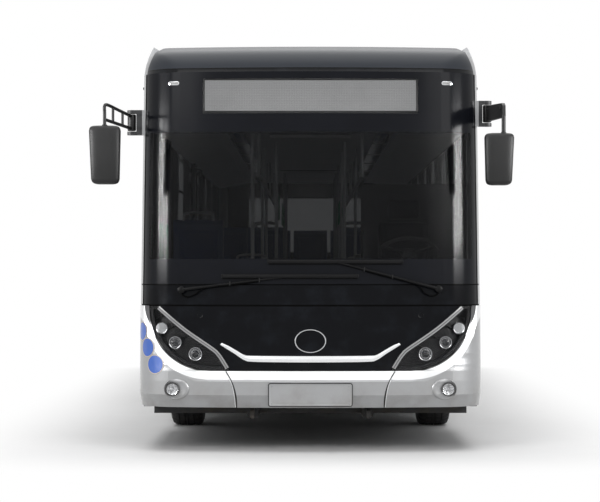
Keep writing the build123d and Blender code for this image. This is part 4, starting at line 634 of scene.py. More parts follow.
silver = (0.375, 0.380, 0.388)
pillar_paint = paint("pillar_paint", silver, 0.30, 0.34, None, frame_shade_and_brackets, black_rough=0.55)
body_paint = paint("silver_paint", silver, 0.30, 0.34)
bumper_paint = paint("bumper_paint", silver, 0.30, 0.34, band=white_band_and_painted_highlight)
side_paint = paint("side_paint", silver, 0.30, 0.34, side_seams, side_glazing)
rear_paint = paint("rear_paint", silver, 0.30, 0.34, rear_seams, rear_glazing)
roof_paint = paint("roof_paint", (0.55, 0.56, 0.57), 0.2, 0.4, roof_seams)
hood_white = moulded("roof_unit_white", (0.66, 0.67, 0.67), 0.45, 500.0, 0.0002)
flap_black = panel_black()
charcoal = moulded("mirror_charcoal", (0.010, 0.0102, 0.0105), 0.48, 700.0, 0.00025, 0.0, 0.30)
wiper_black = moulded("wiper_black", (0.0025, 0.0025, 0.003), 0.45, 1100.0, 0.0001, 0.0, 0.12)
seam_black = moulded("seam_black", (0.001, 0.001, 0.001), 0.8, 900.0, 0.0001, 0.0, 0.03)
dash_plastic = moulded("dash_charcoal", (0.035, 0.036, 0.038), 0.6, 650.0, 0.0003)
trim_black = moulded("trim_black", (0.012, 0.012, 0.013), 0.42, 1100.0, 0.0001, 0.2)
bright = chrome()
satin = chrome("satin_bar", (0.80, 0.81, 0.82), 0.26)
strip_grey = moulded("strip_grey", (0.34, 0.34, 0.345), 0.35, 1200.0, 0.00005)
seal = rubber("rubber_seal")
tread = tyre_rubber()
chassis, iron, enamel = chassis_paint(), cast_iron(), wheel_paint()
frame_metal = aluminium("door_frame", (0.030, 0.031, 0.033), 0.34)
bare_metal = aluminium("bare_metal", (0.50, 0.51, 0.52), 0.3)
pole_paint = powder_coat("pole_grey", (0.42, 0.43, 0.44))
yellow_paint = powder_coat("grab_yellow", (0.80, 0.50, 0.02))
green_paint = powder_coat("grab_green", (0.03, 0.30, 0.13))
clear_lamp, side_clear, screen = lamp_glass(), side_window_glass(), screen_glass()
surround, mirror_bright = lamp_bowl(), reflector()
fog_mirror = reflector("fog_reflector", (0.85, 0.86, 0.88))
# Pale colour for the raised edges beside the bumper seams: a painted highlight.
seam_painted_highlight = moulded("seam_painted_highlight", (0.72, 0.73, 0.74), 0.3, 1200.0, 0.00003)
red_lens = lamp_lens("red_lens", (0.42, 0.006, 0.006))
amber_lens = lamp_lens("amber_lens", (0.75, 0.20, 0.01))
white_lens = lamp_lens("white_lens", (0.78, 0.80, 0.82), 0.15, 0.004)
marker_lens = lamp_lens("marker_lens", (0.40, 0.40, 0.40), 0.04, 0.004)
light_cover = lamp_lens("cabin_light_cover", (0.22, 0.225, 0.23), 0.0, 0.01)
seat_blue, seat_cloth, driver_cloth = seat_plastic(), seat_fabric(), seat_fabric(
    "driver_fabric", (0.020, 0.021, 0.024), (0.07, 0.075, 0.085))
vinyl, lining = vinyl_floor(), ceiling_panel()
matrix, sign_blue = display_matrix_painted_glow(), decal()
sign_rim = moulded("sign_rim", (0.60, 0.52, 0.42), 0.4, 900.0, 0.00003)
display_rim = moulded("display_rim", (0.30, 0.30, 0.30), 0.45, 900.0, 0.0001)
plate_screw = moulded("screw_cover", (0.30, 0.305, 0.31), 0.35, 900.0, 0.00005)
dark_lens = lamp_lens("projector_lens", (0.035, 0.037, 0.045), 0.0, 0.02)
guide_lens = lamp_lens("light_guide", (0.22, 0.23, 0.25), 0.02, 0.003)

dress(bumper_paint, "bumper_centre", "bumper_corners")
dress(pillar_paint, "front_frame")
dress(side_paint, "side_wall_left", "side_wall_right")
dress(rear_paint, "rear_wall", "rear_hatch")
dress(roof_paint, "roof", "rear_cap")
cap_finish = cap_paint()
dress(cap_finish, "front_cap")
dress(hood_white, "aircon_unit", "roof_hatch_front", "roof_hatch_rear")
dress(flap_black, "cowl_panel", "front_flap")
dress(screen, "windscreen")
dress(clear_lamp, "headlamp_lenses")
dress(surround, "front_lamps")
dress(matrix, "destination_display")
dress(side_clear, "window_glass", *[f"{d}_door_glass_{e}" for d in ("front", "middle") for e in "ab"])
dress(lining, "ceiling")
dress(red_lens, "rear_lamps")
dress(vinyl, "cabin_floor")
dress(chassis, "underframe", "drive_units")
dress(iron, "front_axle", "rear_axle", "knuckle_left", "knuckle_right")
dress(wiper_black, "wipers")
dress(charcoal, "mirror_left", "mirror_right")
dress(dash_plastic, "dashboard", "steering_wheel", "driver_partition", "driver_seat")
dress(seat_blue, "passenger_seats")
dress(pole_paint, "handrails")
dress(enamel, "rim_front_left", "rim_front_right", "rim_rear_left", "rim_rear_right")
dress(tread, "tyre_front_left", "tyre_front_right", "tyres_rear_left", "tyres_rear_right")
for doorway in ("front", "middle"):
    dress(frame_metal, *[f"{doorway}_door_{part}_{e}" for part in ("arm", "leaf") for e in "ab"])


# Nose trim

def ribbon(points, width):
    """The two edges of a strip of that width along (x, z) points."""
    left, right = [], []
    for i, (x, z) in enumerate(points):
        x0, z0 = points[max(i - 1, 0)]
        x1, z1 = points[min(i + 1, len(points) - 1)]
        length = hypot(x1 - x0, z1 - z0)
        dx, dz = (x1 - x0) / length * width / 2, (z1 - z0) / length * width / 2
        left.append((x - dz, z + dx))
        right.append((x + dz, z - dx))
    return left, right


def rounded(points, steps=8):
    return [(p.x, p.z) for p in smooth_path([(x, 0, z) for x, z in points], steps)]


def lamp_strips():
    """Satin strip between each headlamp and the flap, with a groove down its middle."""
    line = rounded([(1.122, 1.057), (0.9255, 0.896), (0.7214, 0.757), (0.677, 0.717), (0.644, 0.671),
                    (0.609, 0.614)])
    seam = rounded([(1.080, 1.0705), (0.886, 0.930), (0.725, 0.809), (0.688, 0.776), (0.652, 0.712),
                    (0.588, 0.601)])
    flanges, made, groove = Build(), Build(), Build()
    for side in (-1, 1):
        flanges.strip(seam, line, 0.0025, 0.008, side)
        made.strip(*ribbon(line, 0.027), 0.005, 0.012, side)
        groove.strip(*ribbon(line, 0.0035), 0.0085, 0.004, side)
    flanges.piece("headlamp_flanges", flap_black)
    made.piece("headlamp_strips", strip_grey, slot="wheel_silver")
    groove.piece("headlamp_strip_grooves", trim_black)


def flap_bar():
    """Bright bar across the flap with its tips turned up."""
    upper = rounded([(0.650, 0.799), (0.600, 0.778), (0.539, 0.743), (0.485, 0.713), (0.432, 0.706),
                     (0.20, 0.7045), (0.0, 0.704)], 5)
    lower = rounded([(0.662, 0.787), (0.610, 0.755), (0.556, 0.722), (0.485, 0.676), (0.423, 0.6635),
                     (0.20, 0.6600), (0.0, 0.659)], 5)
    upper += [(-x, z) for x, z in reversed(upper[:-1])]
    lower += [(-x, z) for x, z in reversed(lower[:-1])]
    Build().strip(upper, lower, 0.010, 0.012).piece("flap_bar", satin, angle=20.0, slot="silver_paint")


def blank_badge():
    """Plain oval boss on the flap: a bright rim round a bare black disc."""
    centre = skin(0.0, 0.814)
    rim = [(0.008, 0.1060), (-0.004, 0.1065), (-0.008, 0.1090), (-0.008, 0.1130), (-0.003, 0.1160),
           (0.008, 0.1168)]
    disc = [(0.008, 0.110), (-0.001, 0.110), (-0.005, 0.085), (-0.0080, 0.045), (-0.009, 0.0)]
    Build().turned(rim, centre, (0, 1, 0), 72, 0.745, (0, 0, 1)).piece("badge_rim", satin)
    Build().turned(disc, centre, (0, 1, 0), 72, 0.745, (0, 0, 1)).piece("badge_disc", flap_black)
    dots = Build()
    for side in (-1, 1):
        spot = skin(side * 0.810, 1.000)
        out = skin_normal(side * 0.810, 1.000)
        dots.turned([(-0.004, 0.0215), (0.003, 0.0215), (0.0042, 0.0195), (0.0030, 0.0175), (0.0026, 0.006),
                     (0.0034, 0.0)], spot, out, 32)
    dots.piece("front_sensors", flap_black)


def screen_seals():
    """Dark lines above and below the cowl, and up both sides of the windscreen."""
    made = Build()
    for z, reach, width in [(1.2265, 1.262, 0.008), (1.0735, 1.262, 0.012)]:
        xs = [reach * sin(pi / 2 * k / 28) for k in range(-28, 29)]
        made.strip([(x, z + width / 2) for x in xs], [(x, z - width / 2) for x in xs], 0.0016, 0.004)
    made.piece("screen_seals", seam_black)
    up = Build()
    for side in (-1, 1):
        zs = [1.08 + 1.72 * k / 30 for k in range(31)]
        edges = []
        for reach in (0.3165, 0.3265):
            edges.append([(level_at(z)[0] - CORNER_RADIUS + reach, z) for z in zs])
        up.strip(edges[0], edges[1], 0.0016, 0.004, side)
    up.piece("pillar_seals", seam_black)


def head_lamps():
    """Three round lamps in each headlamp: a frosted signal lamp, a projector and a dark reflector lamp."""
    rings, frosted, bowls, lenses, guides, fins = Build(), Build(), Build(), Build(), Build(), Build()
    rows = [(1.098, 0.905, 0.042, "frosted"), (0.996, 0.800, 0.046, "projector"), (0.846, 0.716, 0.050, "dark")]
    for side in (-1, 1):
        for x, z, r, kind in rows:
            face = Vector((side * x, FRONT_Y + plan_y(x, HALF_WIDTH, 0.050) + 0.043, z))
            rings.turned([(0.004, r + 0.001), (-0.004, r + 0.002), (-0.010, r - 0.001), (-0.008, r - 0.006),
                          (0.0, r - 0.008)], face, (0, 1, 0), 40)
            if kind == "frosted":
                frosted.turned([(0.0, r - 0.006), (-0.008, r - 0.007), (-0.012, r * 0.5), (-0.013, 0.0)], face,
                               (0, 1, 0), 40)
            else:
                bowls.turned([(-0.006, r - 0.007), (0.0, r * 0.72), (-0.001, r * 0.55)], face, (0, 1, 0), 40)
                lens = 0.62 if kind == "projector" else 0.5
                lenses.turned([(0.0, r * lens), (-0.006, r * lens), (-0.013, r * lens * 0.8),
                               (-0.017, r * lens * 0.4), (-0.018, 0.0)], face, (0, 1, 0), 40)
        arc = [radians(a) for a in range(2, 76, 4)]
        line = [(0.740 + 0.425 * sin(a), 1.050 - 0.425 * cos(a)) for a in arc]
        guides.strip(*ribbon(line, 0.012), -0.030, 0.045, side)
        for k in range(4):
            line = [(0.760 + 0.10 * k + t * 0.12, 0.80 + 0.072 * k - t * 0.060) for t in (0.0, 0.5, 1.0)]
            fins.strip(*ribbon(line, 0.006), -0.050, 0.060, side)
    rings.piece("headlamp_rings", bright)
    frosted.piece("headlamp_signal_lenses", white_lens, slot="lamp_parts")
    bowls.piece("headlamp_bowls", mirror_bright, slot="lamp_parts")
    lenses.piece("headlamp_projector_lenses", dark_lens, slot="lamp_parts")
    guides.piece("headlamp_light_guides", guide_lens, slot="lamp_parts")
    fins.piece("headlamp_fins", surround, slot="lamp_parts")


def fog_lamps():
    """Fog lamps: a black ring, a faceted bowl under a clear lens, and the soft dish pressed round them."""
    rings, lenses, dishes, bowls = Build(), Build(), Build(), Build()
    for side in (-1, 1):
        out = Vector((side * 0.06, -1.0, 0.0)).normalized()
        centre = skin(side * 1.012, 0.461, 0.016)
        rings.turned([(0.012, 0.0508), (-0.008, 0.0508), (-0.011, 0.0475), (-0.009, 0.0440), (0.002, 0.0425)],
                     centre, -out, 48)
        bowls.turned([(-0.003, 0.0430), (0.000, 0.034), (0.0015, 0.014), (-0.006, 0.012), (-0.008, 0.0)],
                     centre, -out, 40)
        lenses.turned([(-0.005, 0.0435), (-0.010, 0.040), (-0.013, 0.022), (-0.014, 0.0)], centre, -out, 40)
        rows = []
        for reach, rise in ((0.0, 0.0004), (0.35, 0.0030), (0.70, 0.0078), (0.88, 0.0098), (1.0, 0.0072),
                            (1.12, 0.0006)):
            row = []
            for k in range(64):
                a = 2 * pi * k / 64
                x0, z0 = 1.012 + 0.0515 * cos(a), 0.461 + 0.0515 * sin(a)
                x1, z1 = 0.985 + 0.088 * cos(a), 0.461 + 0.077 * sin(a)
                row.append(skin(side * (x0 + (x1 - x0) * reach), z0 + (z1 - z0) * reach, rise))
            rows.append(row)
        dishes.grid(rows, close_u=True)
    rings.piece("fog_lamp_rings", trim_black)
    bowls.piece("fog_lamp_bowls", fog_mirror, slot="lamp_parts")
    lenses.piece("fog_lamp_lenses", clear_lamp, slot="lamp_parts")
    dishes.piece("fog_lamp_dishes", body_paint, slot="silver_paint")


def bumper_seams():
    """Rubber in the two joints of the bumper, with a raised edge beside each, coloured pale as a painted
    highlight.
    """
    rubber_line, edge = Build(), Build()
    path = [(0.618, 0.589), (0.585, 0.539), (0.562, 0.485), (0.5475, 0.410), (0.541, 0.329)]
    line = rounded(path)
    bead = rounded([(x + 0.0075, z) for x, z in path])
    for side in (-1, 1):
        rubber_line.strip(*ribbon(line, 0.0075), 0.0010, 0.004, side)
        edge.strip(*ribbon(bead, 0.0050), 0.0022, 0.004, side)
    rubber_line.piece("bumper_seam_rubbers", seal)
    edge.piece("bumper_seam_edges", seam_painted_highlight, slot="silver_paint")


def marker_lamps():
    """Small pale marker lamps near the top of the windscreen, each in a bright rim."""
    rims, lenses = Build(), Build()
    lamp_x, lamp_z = -1.012, 2.718
    for side in (-1, 1):
        for build, half, tall, lift, depth in ((rims, 0.040, 0.0140, 0.004, 0.006),
                                               (lenses, 0.035, 0.0095, 0.007, 0.004)):
            outline = [(lamp_x + sx * (half - tall) + tall * cos(a), lamp_z + tall * sin(a))
                       for sx, a in [(1, radians(k)) for k in range(-90, 91, 18)]
                       + [(-1, radians(k)) for k in range(90, 271, 18)]]
            mid = [(lamp_x + (x - lamp_x) * 0.86, lamp_z + (z - lamp_z) * 0.80) for x, z in outline]
            back = [skin(-side * x, z, -depth) for x, z in outline]
            front = [skin(-side * x, z, lift * 0.6) for x, z in outline]
            inner = [skin(-side * x, z, lift) for x, z in mid]
            build.grid([back, front, inner], close_u=True)
            start = len(build.verts) - len(inner)
            build.faces.append(tuple(range(start, len(build.verts))))
    rims.piece("marker_lamp_rims", bright)
    lenses.piece("marker_lamp_lenses", marker_lens, slot="lamp_parts")


def display_frame():
    """The display's front with its bevelled frame and the hood that carries it."""
    x, y, z0, z1 = 0.804, -5.560, 2.5155, 2.770
    rows = []
    for out, back in [(0.014, 0.030), (0.014, -0.010), (0.002, -0.014), (-0.012, -0.002), (-0.014, 0.004)]:
        rows.append([Vector((sx * (x + out), y + back, zz + out * sz))
                     for sx, zz, sz in ((-1, z0, -1), (1, z0, -1), (1, z1, 1), (-1, z1, 1))])
    Build().grid(rows, close_u=True).piece("display_frame", display_rim, angle=15.0, slot="display_grey")
    front = Build().box(-x - 0.004, x + 0.004, y, y + 0.008, z0 - 0.004, z1 + 0.004, 0.002)
    front.piece("display_front", matrix, slot="display_grey")
    hood = Build().box(-1.05, 1.05, y + 0.012, y + 0.030, z0 - 0.155, z1 + 0.020, 0.006)
    hood.piece("display_hood", trim_black)


def plate_panel():
    """Edge of the blank number plate panel with a black ring of painted shade along its outer edge, and its four
    covered screws.
    """
    x, z0, z1, y = 0.306, 0.340, 0.508, -6.004
    screws = Build()
    for sx in (-1, 1):
        for z in (z0 + 0.022, z1 - 0.022):
            screws.turned([(-0.001, 0.0075), (0.0022, 0.0070), (0.0030, 0.0045), (0.0031, 0.0)],
                          (sx * (x - 0.026), y, z), (0, -1, 0), 20)
    screws.piece("plate_panel_screws", plate_screw)
    corners = [(-x, z0), (x, z0), (x, z1), (-x, z1)]
    # Black ring along the panel's outer edge: painted shade.
    painted_shade_ring = [(-0.003, -0.006), (-0.002, 0.0005), (0.0035, 0.0008), (0.0045, -0.001)]
    edge = [(0.0035, -0.001), (0.0050, 0.0024), (0.0105, 0.0030), (0.0160, 0.0004)]
    for name, finish, profile in (("plate_panel_painted_shade", trim_black, painted_shade_ring), ("plate_panel_edge", body_paint, edge)):
        rows = [round_outline(corners, 0.016, inset, lambda u, v: Vector((u, y - lift, v)))
                for inset, lift in profile]
        Build().grid(rows, close_u=True).piece(name, finish)


def blade_point(angle, z, side, lift):
    """A point on the bumper corner beside the headlamp, angle round from straight ahead."""
    rise = (z - FLAP_Z0) / (FLAP_Z1 - FLAP_Z0)
    cx = HALF_WIDTH - CORNER_RADIUS
    cy = 0.042 * rise + NOSE_RADIUS - sqrt((NOSE_RADIUS - CORNER_RADIUS) ** 2 - cx ** 2)
    r = CORNER_RADIUS + lift
    return Vector((side * (cx + r * sin(angle)), FRONT_Y + cy - r * cos(angle), z))


def round_signs():
    """Three blank round signs down the right-hand bumper corner, each blue inside a pale rim."""
    blue, rims = Build(), Build()
    for degrees_round, z in ((68.0, 0.880), (53.5, 0.762), (39.0, 0.640)):
        for build, radius, lift, inner in ((rims, 0.0680, 0.0010, 0.0615), (blue, 0.0620, 0.0013, 0.0)):
            rows = []
            turns = [2 * pi * k / 40 for k in range(40)]
            for r in ([radius, inner] if inner else [radius, radius * 0.5, 0.0004]):
                wide, tall = r * 1.2 / CORNER_RADIUS, r * 1.05
                rows.append([blade_point(radians(degrees_round) + wide * cos(t), z + tall * sin(t), -1, lift)
                             for t in turns])
            build.grid(rows, close_u=True)
    blue.piece("round_signs", sign_blue)
    rims.piece("round_sign_rims", sign_rim)


def wiper_fittings():
    """Arm covers, pivot caps and washer hoses of the wipers."""
    covers, hoses, caps = Build(), Build(), Build()
    for px, pz, mx, mz in ((-0.948, 1.189, -0.150, 1.288), (0.943, 1.196, 0.182, 1.394)):
        root = skin(px, pz, 0.044)
        tip = skin(mx, mz, 0.030)
        covers.tube([root + (tip - root) * t for t in (-0.02, 0.0, 0.16, 0.30, 0.34)],
                    [0.010, 0.0135, 0.012, 0.010, 0.008], 8)
        caps.turned([(-0.004, 0.026), (0.012, 0.025), (0.017, 0.017), (0.018, 0.0)], skin(px, pz, 0.040),
                    (0, -1, 0), 28)
        hang = [skin(px, pz - 0.018, 0.012), skin(px * 0.985, pz - 0.044, 0.016),
                skin(px * 0.94, pz - 0.052, 0.018), skin(px * 0.885, pz - 0.030, 0.024)]
        hang += [root + (tip - root) * t + Vector((0, 0, drop)) for t, drop in ((0.22, -0.012), (0.50, -0.012),
                                                                                (0.72, -0.009))]
        hoses.tube(smooth_path(hang), 0.0048, 8)
        for t in (0.45, 0.72):
            covers.tube([root + (tip - root) * t + Vector((0, 0, s * 0.016)) for s in (-1, 1)], 0.0055, 8)
    covers.piece("wiper_arm_covers", wiper_black)
    caps.piece("wiper_pivot_caps", wiper_black)
    hoses.piece("wiper_washer_hoses", seam_black)


def wiper_blades():
    """Rubber lip and spring back of each blade."""
    lips, backs = Build(), Build()
    for x0, x1, z in ((-0.640, 0.341, 1.288), (-0.305, 0.669, 1.394)):
        xs = [x0 + (x1 - x0) * k / 24 for k in range(25)]
        lips.grid([[skin(x, z + dz, lift) for x in xs] for dz, lift in
                   ((-0.019, 0.002), (-0.015, 0.010), (-0.010, 0.010), (-0.014, 0.002))], close_v=True)
        backs.grid([[skin(x, z + dz, lift) for x in xs] for dz, lift in
                    ((-0.013, 0.0285), (-0.008, 0.0335), (0.006, 0.0335), (0.012, 0.0285))])
        for low, high, end in ((x0 - 0.012, x0 + 0.004, x0), (x1 - 0.004, x1 + 0.012, x1)):
            y = skin(end, z).y
            backs.box(low, high, y - 0.030, y - 0.010, z - 0.016, z + 0.016, 0.003)
    lips.piece("wiper_rubbers", seam_black)
    backs.piece("wiper_blade_backs", wiper_black)


# Mirrors

MIRROR_HEADS = {"right": (-1, 1.376, 1.606, 1.956, 2.381), "left": (1, 1.262, 1.478, 1.949, 2.327)}


def mirror_details(name):
    """Glass, rim and lower wide-angle glass on the rear of a mirror head, then its shell."""
    side, x0, x1, z0, z1 = MIRROR_HEADS[name]
    y = -6.010
    body = "mirror_" + name
    glass, rims = Build(), Build()
    for a, b in ((z0 + 0.128, z1 - 0.018), (z0 + 0.018, z0 + 0.112)):
        corners = [(x0 + 0.016, a), (x1 - 0.016, a), (x1 - 0.016, b), (x0 + 0.016, b)]
        rows = []
        for inset, lift in ((0.000, 0.0), (0.0, 0.006), (0.003, 0.008), (0.009, 0.008), (0.010, 0.004)):
            rows.append(round_outline(corners, 0.022, inset, lambda u, v: Vector((side * u, y + lift, v))))
        rims.grid(rows, close_u=True)
        pane_rows = [round_outline(corners, 0.022, inset, lambda u, v: Vector((side * u, y + lift, v)))
                     for inset, lift in ((0.0095, 0.0045), (0.030, 0.0055))]
        glass.grid(pane_rows, close_u=True)
        glass.faces.append(tuple(range(len(glass.verts) - len(pane_rows[1]), len(glass.verts))))
    glass.piece(f"mirror_glass_{name}", bright, body, slot="charcoal")
    rims.piece(f"mirror_rims_{name}", charcoal, body, slot="charcoal")
    mirror_shell(name, body)


def mirror_shell(name, body):
    """Rounded head, narrower at its foot, on the arms that carry it."""
    side, x0, x1, z0, z1 = MIRROR_HEADS[name]
    made = Build()
    rows = []
    for t, inset in [(0.0, 0.048), (0.006, 0.028), (0.020, 0.014), (0.045, 0.005), (0.09, 0.0), (0.5, 0.0),
                     (0.91, 0.0), (0.955, 0.005), (0.980, 0.014), (0.994, 0.028), (1.0, 0.048)]:
        low, high = x0 + 0.010 * (1 - t) + inset, x1 - 0.018 * (1 - t) - inset
        front, back = -6.120 + 0.012 * (1 - t) + inset, -6.010
        row = []
        for k in range(40):
            u, v = cos(2 * pi * k / 40), sin(2 * pi * k / 40)
            power = 0.55 if v < 0 else 0.22
            x = (low + high) / 2 + (high - low) / 2 * abs(u) ** power * (1 if u > 0 else -1)
            y = (front + back) / 2 + (back - front) / 2 * abs(v) ** power * (1 if v > 0 else -1)
            row.append(Vector((side * x, y, z0 + (z1 - z0) * t)))
        rows.append(row)
    made.grid(rows, close_u=True)
    made.faces += [tuple(range(len(rows[0]))), tuple(range(len(made.verts) - len(rows[0]), len(made.verts)))]
    if name == "right":
        hinge, low, high, tip = Vector((-1.345, -5.5, 0)), 2.397, 2.490, Vector((-1.491, -6.07, 0))
        up = Vector((0, 0, 1))
        bend = [hinge + up * high, hinge.lerp(tip, 0.5) + up * 2.515, hinge.lerp(tip, 0.9) + up * 2.535,
                tip + up * 2.520, tip + up * 2.470, tip + up * 2.375]
        made.tube(smooth_path(bend, 5), 0.012, 12)
        made.tube([hinge + up * low, tip + up * 2.425], 0.012, 12)
        for t in (0.35, 0.70):
            at = hinge.lerp(tip, t)
            made.tube([at + up * (low + 0.028 * t), at + up * (high + 0.048 * t)], 0.010, 12)
        made.tube([hinge + up * 2.381, hinge + up * 2.388, hinge + up * 2.497, hinge + up * 2.504],
                  [0.029, 0.032, 0.032, 0.029], 24)
    else:
        hinge, tip = Vector((1.330, -5.5, 0)), Vector((1.400, -6.07, 0))
        out = Vector((0.993, 0.122, 0)) * 0.012
        corners = [(0.0, 2.450), (0.0, 2.570), (0.97, 2.545), (1.02, 2.525), (1.03, 2.450), (1.0, 2.440)]
        plates = [[hinge.lerp(tip, t) + Vector((0, 0, z)) + out * s for t, z in corners]
                  for s in (-1, -0.8, 0.8, 1)]
        made.grid(plates, close_u=True)
        made.faces += [tuple(range(len(made.verts) - 6, len(made.verts))),
                       tuple(range(len(made.verts) - 24, len(made.verts) - 18))]
        made.tube([tip + Vector((0, 0, z)) for z in (2.320, 2.35, 2.46)], [0.016, 0.015, 0.015], 16)
        for t, z in ((0.16, 2.535), (0.16, 2.480), (0.90, 2.510)):
            made.turned([(0.0, 0.013), (0.004, 0.013), (0.007, 0.009), (0.0075, 0.0)],
                        hinge.lerp(tip, t) + Vector((0, 0, z)) - out, -out, 18)
        made.tube([hinge + Vector((0, 0, z)) for z in (2.446, 2.452, 2.568, 2.574)],
                  [0.029, 0.032, 0.032, 0.029], 24)
    made.turned([(0.0, 0.020), (0.006, 0.019), (0.010, 0.014), (0.012, 0.0)],
                Vector((tip.x, -6.070, z1 - 0.002)), (0, 0, 1), 24)
    shell = made.piece(f"mirror_shell_{name}", charcoal, body, 40.0, "charcoal")
    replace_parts(shell, body)


def round_outline(corners, radius, inset, place, steps=6):
    """Points round a four-cornered outline with rounded corners, each put in space by place(u, v)."""
    (u0, v0), (u1, v1) = corners[0], corners[2]
    made = []
    for su, sv, start in ((1, 1, 0), (0, 1, 90), (0, 0, 180), (1, 0, 270)):
        cu = (u1 - radius) if su else (u0 + radius)
        cv = (v1 - radius) if sv else (v0 + radius)
        for k in range(steps + 1):
            a = radians(start + 90 * k / steps)
            made.append(place(cu + (radius - inset) * cos(a), cv + (radius - inset) * sin(a)))
    return made


# Wheels

def tyre_piece(x, y, side):
    """Tyre with four grooves, notched shoulders and stepped sidewalls; side is where its outer wall faces."""
    half = [(0.000, -0.001), (0.007, -0.001), (0.0085, -0.011), (0.0165, -0.011), (0.018, -0.001),
            (0.058, -0.002), (0.0595, -0.012), (0.0675, -0.012), (0.069, -0.002), (0.090, -0.003),
            (0.108, -0.008), (0.124, -0.020)]
    wall = [(0.131, -0.040), (0.1345, -0.046), (0.1345, -0.052), (0.137, -0.075), (0.1375, -0.090),
            (0.1358, -0.094), (0.1358, -0.122), (0.1372, -0.126), (0.134, -0.150), (0.128, -0.172),
            (0.121, -0.186), (0.118, -0.1925)]
    outline = [(-a, b) for a, b in reversed(half + wall)] + (half + wall)[1:]
    count, verts, rows = 168, Build(), []
    for k in range(count):
        turn = 2 * pi * (k + 0.5) / count
        notch = k % 4 == 0
        sipe = k % 4 == 2
        row = []
        for a, b in outline:
            drop = b
            if abs(a) >= 0.089 and b > -0.030 and notch:
                drop = b - 0.008
            elif 0.018 <= abs(a) <= 0.058 and b > -0.005 and sipe:
                drop = b - 0.005
            radius = TYRE_RADIUS + min(drop, 0.0)
            row.append(Vector((x + side * a, y + radius * cos(turn), AXLE_Z + radius * sin(turn))))
        rows.append(row)
    verts.grid(rows, close_v=True)
    return verts


def wheel_fittings(x, y, side, deep):
    """Ten nuts on washers, the hub cap and the valve of a wheel whose disc faces side at x."""
    nuts, caps, valve = Build(), Build(), Build()
    out = Vector((side, 0, 0))
    for k in range(10):
        a = 2 * pi * (k + 0.5) / 10
        spot = Vector((x, y + 0.1675 * cos(a), AXLE_Z + 0.1675 * sin(a)))
        nuts.turned([(-0.002, 0.022), (0.004, 0.022), (0.005, 0.020)], spot, out, 20)
        nuts.turned([(0.004, 0.0175), (0.024, 0.0175), (0.027, 0.015), (0.028, 0.011)], spot, out, 6)
        nuts.turned([(0.020, 0.0105), (0.036, 0.0105), (0.038, 0.008), (0.038, 0.0)], spot, out, 12)
    hub = (x, y, AXLE_Z)
    caps.turned([(0.000, 0.128), (0.010, 0.127), (0.016, 0.120), (0.018, 0.110), (0.030, 0.104)], hub, out, 48)
    caps.turned([(0.020, 0.080), (deep + 0.012, 0.078), (deep + 0.020, 0.070), (deep + 0.022, 0.040),
                 (deep + 0.023, 0.0)], hub, out, 48)
    for k in range(10):
        a = 2 * pi * k / 10
        caps.turned([(0.016, 0.007), (0.024, 0.007), (0.026, 0.005), (0.026, 0.0)],
                    (x, y + 0.100 * cos(a), AXLE_Z + 0.100 * sin(a)), out, 8)
    root = Vector((x, y + 0.215, AXLE_Z))
    valve.tube([root, root + out * 0.020 + Vector((0, 0.010, 0)), root + out * 0.052 + Vector((0, 0.014, 0))],
               0.0042, 8)
    return nuts, caps, valve


def wheels():
    for end, y in (("front", FRONT_AXLE_Y), ("rear", REAR_AXLE_Y)):
        for side, name in ((1, "left"), (-1, "right")):
            body = f"wheel_{end}_{name}"
            if end == "front":
                made = tyre_piece(side * FRONT_WHEEL_X, y, side)
                face, deep, node = FRONT_WHEEL_X + DISC_OFFSET, 0.040, f"tyre_front_{name}"
            else:
                made = tyre_piece(side * REAR_OUTER_X, y, side)
                inner = tyre_piece(side * REAR_INNER_X, y, side)
                made.add(inner.verts, inner.faces)
                face, deep, node = REAR_INNER_X + DISC_OFFSET + 0.016, 0.140, f"tyres_rear_{name}"
            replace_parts(made.piece(f"tyre_tread_{end}_{name}", tread, body, 28.0, "tyre"), node)
            nuts, caps, valve = wheel_fittings(side * face, y, side, deep)
            nuts.piece(f"wheel_nuts_{end}_{name}", bare_metal, body, slot="steel_bar")
            caps.piece(f"hub_cap_{end}_{name}", enamel, body, slot="wheel_silver")
            valve.piece(f"valve_{end}_{name}", bare_metal, body, slot="steel_bar")


# Sides

# Front and rear edge of each window
LEFT_BAYS = [(-5.18, -4.29), (-4.19, -2.79), (-2.69, -1.29), (-1.19, 0.21), (0.31, 1.71), (1.81, 3.21),
             (3.31, 4.71), (4.81, 5.60)]
RIGHT_BAYS = [(-3.92, -2.37), (-2.27, -0.65), (0.86, 2.26), (2.36, 3.76), (3.86, 5.16), (5.26, 5.64)]


def wall_out(z):
    """Half width of the body at height z."""
    if z <= 0.43:
        return 1.264 + 0.011 * (z - 0.30) / 0.13
    return 1.275 if z <= 1.08 else 1.275 - 0.015 * (z - 1.08) / 1.63


def window_trim():
    """Rubber round each side window, and the top vent bar with its catch on every other one."""
    rubbers, bars = Build(), Build()
    for side, bays in ((1, LEFT_BAYS), (-1, RIGHT_BAYS)):
        for k, (y0, y1) in enumerate(bays):
            corners = [(y0, 1.18), (y1, 1.18), (y1, 2.40), (y0, 2.40)]
            rows = []
            for inset, lift in ((-0.004, -0.004), (-0.004, 0.0015), (0.004, 0.0030), (0.014, 0.0020),
                                (0.015, -0.004)):
                rows.append(round_outline(corners, 0.020, inset,
                                          lambda u, v: Vector((side * (wall_out(v) + lift), u, v)), 4))
            rubbers.grid(rows, close_u=True)
            if y1 - y0 > 1.3 and k % 2 == 1:
                x = wall_out(2.10)
                inside, outside, y = side * (x - 0.002), side * (x + 0.0035), (y0 + y1) / 2 - 0.012
                bars.box(inside, outside, y0 + 0.012, y1 - 0.012, 2.085, 2.110, 0.0015)
                bars.box(inside, outside, y, y + 0.024, 2.110, 2.385, 0.0015)
    rubbers.piece("window_rubbers", seal)
    bars.piece("window_vent_bars", trim_black)


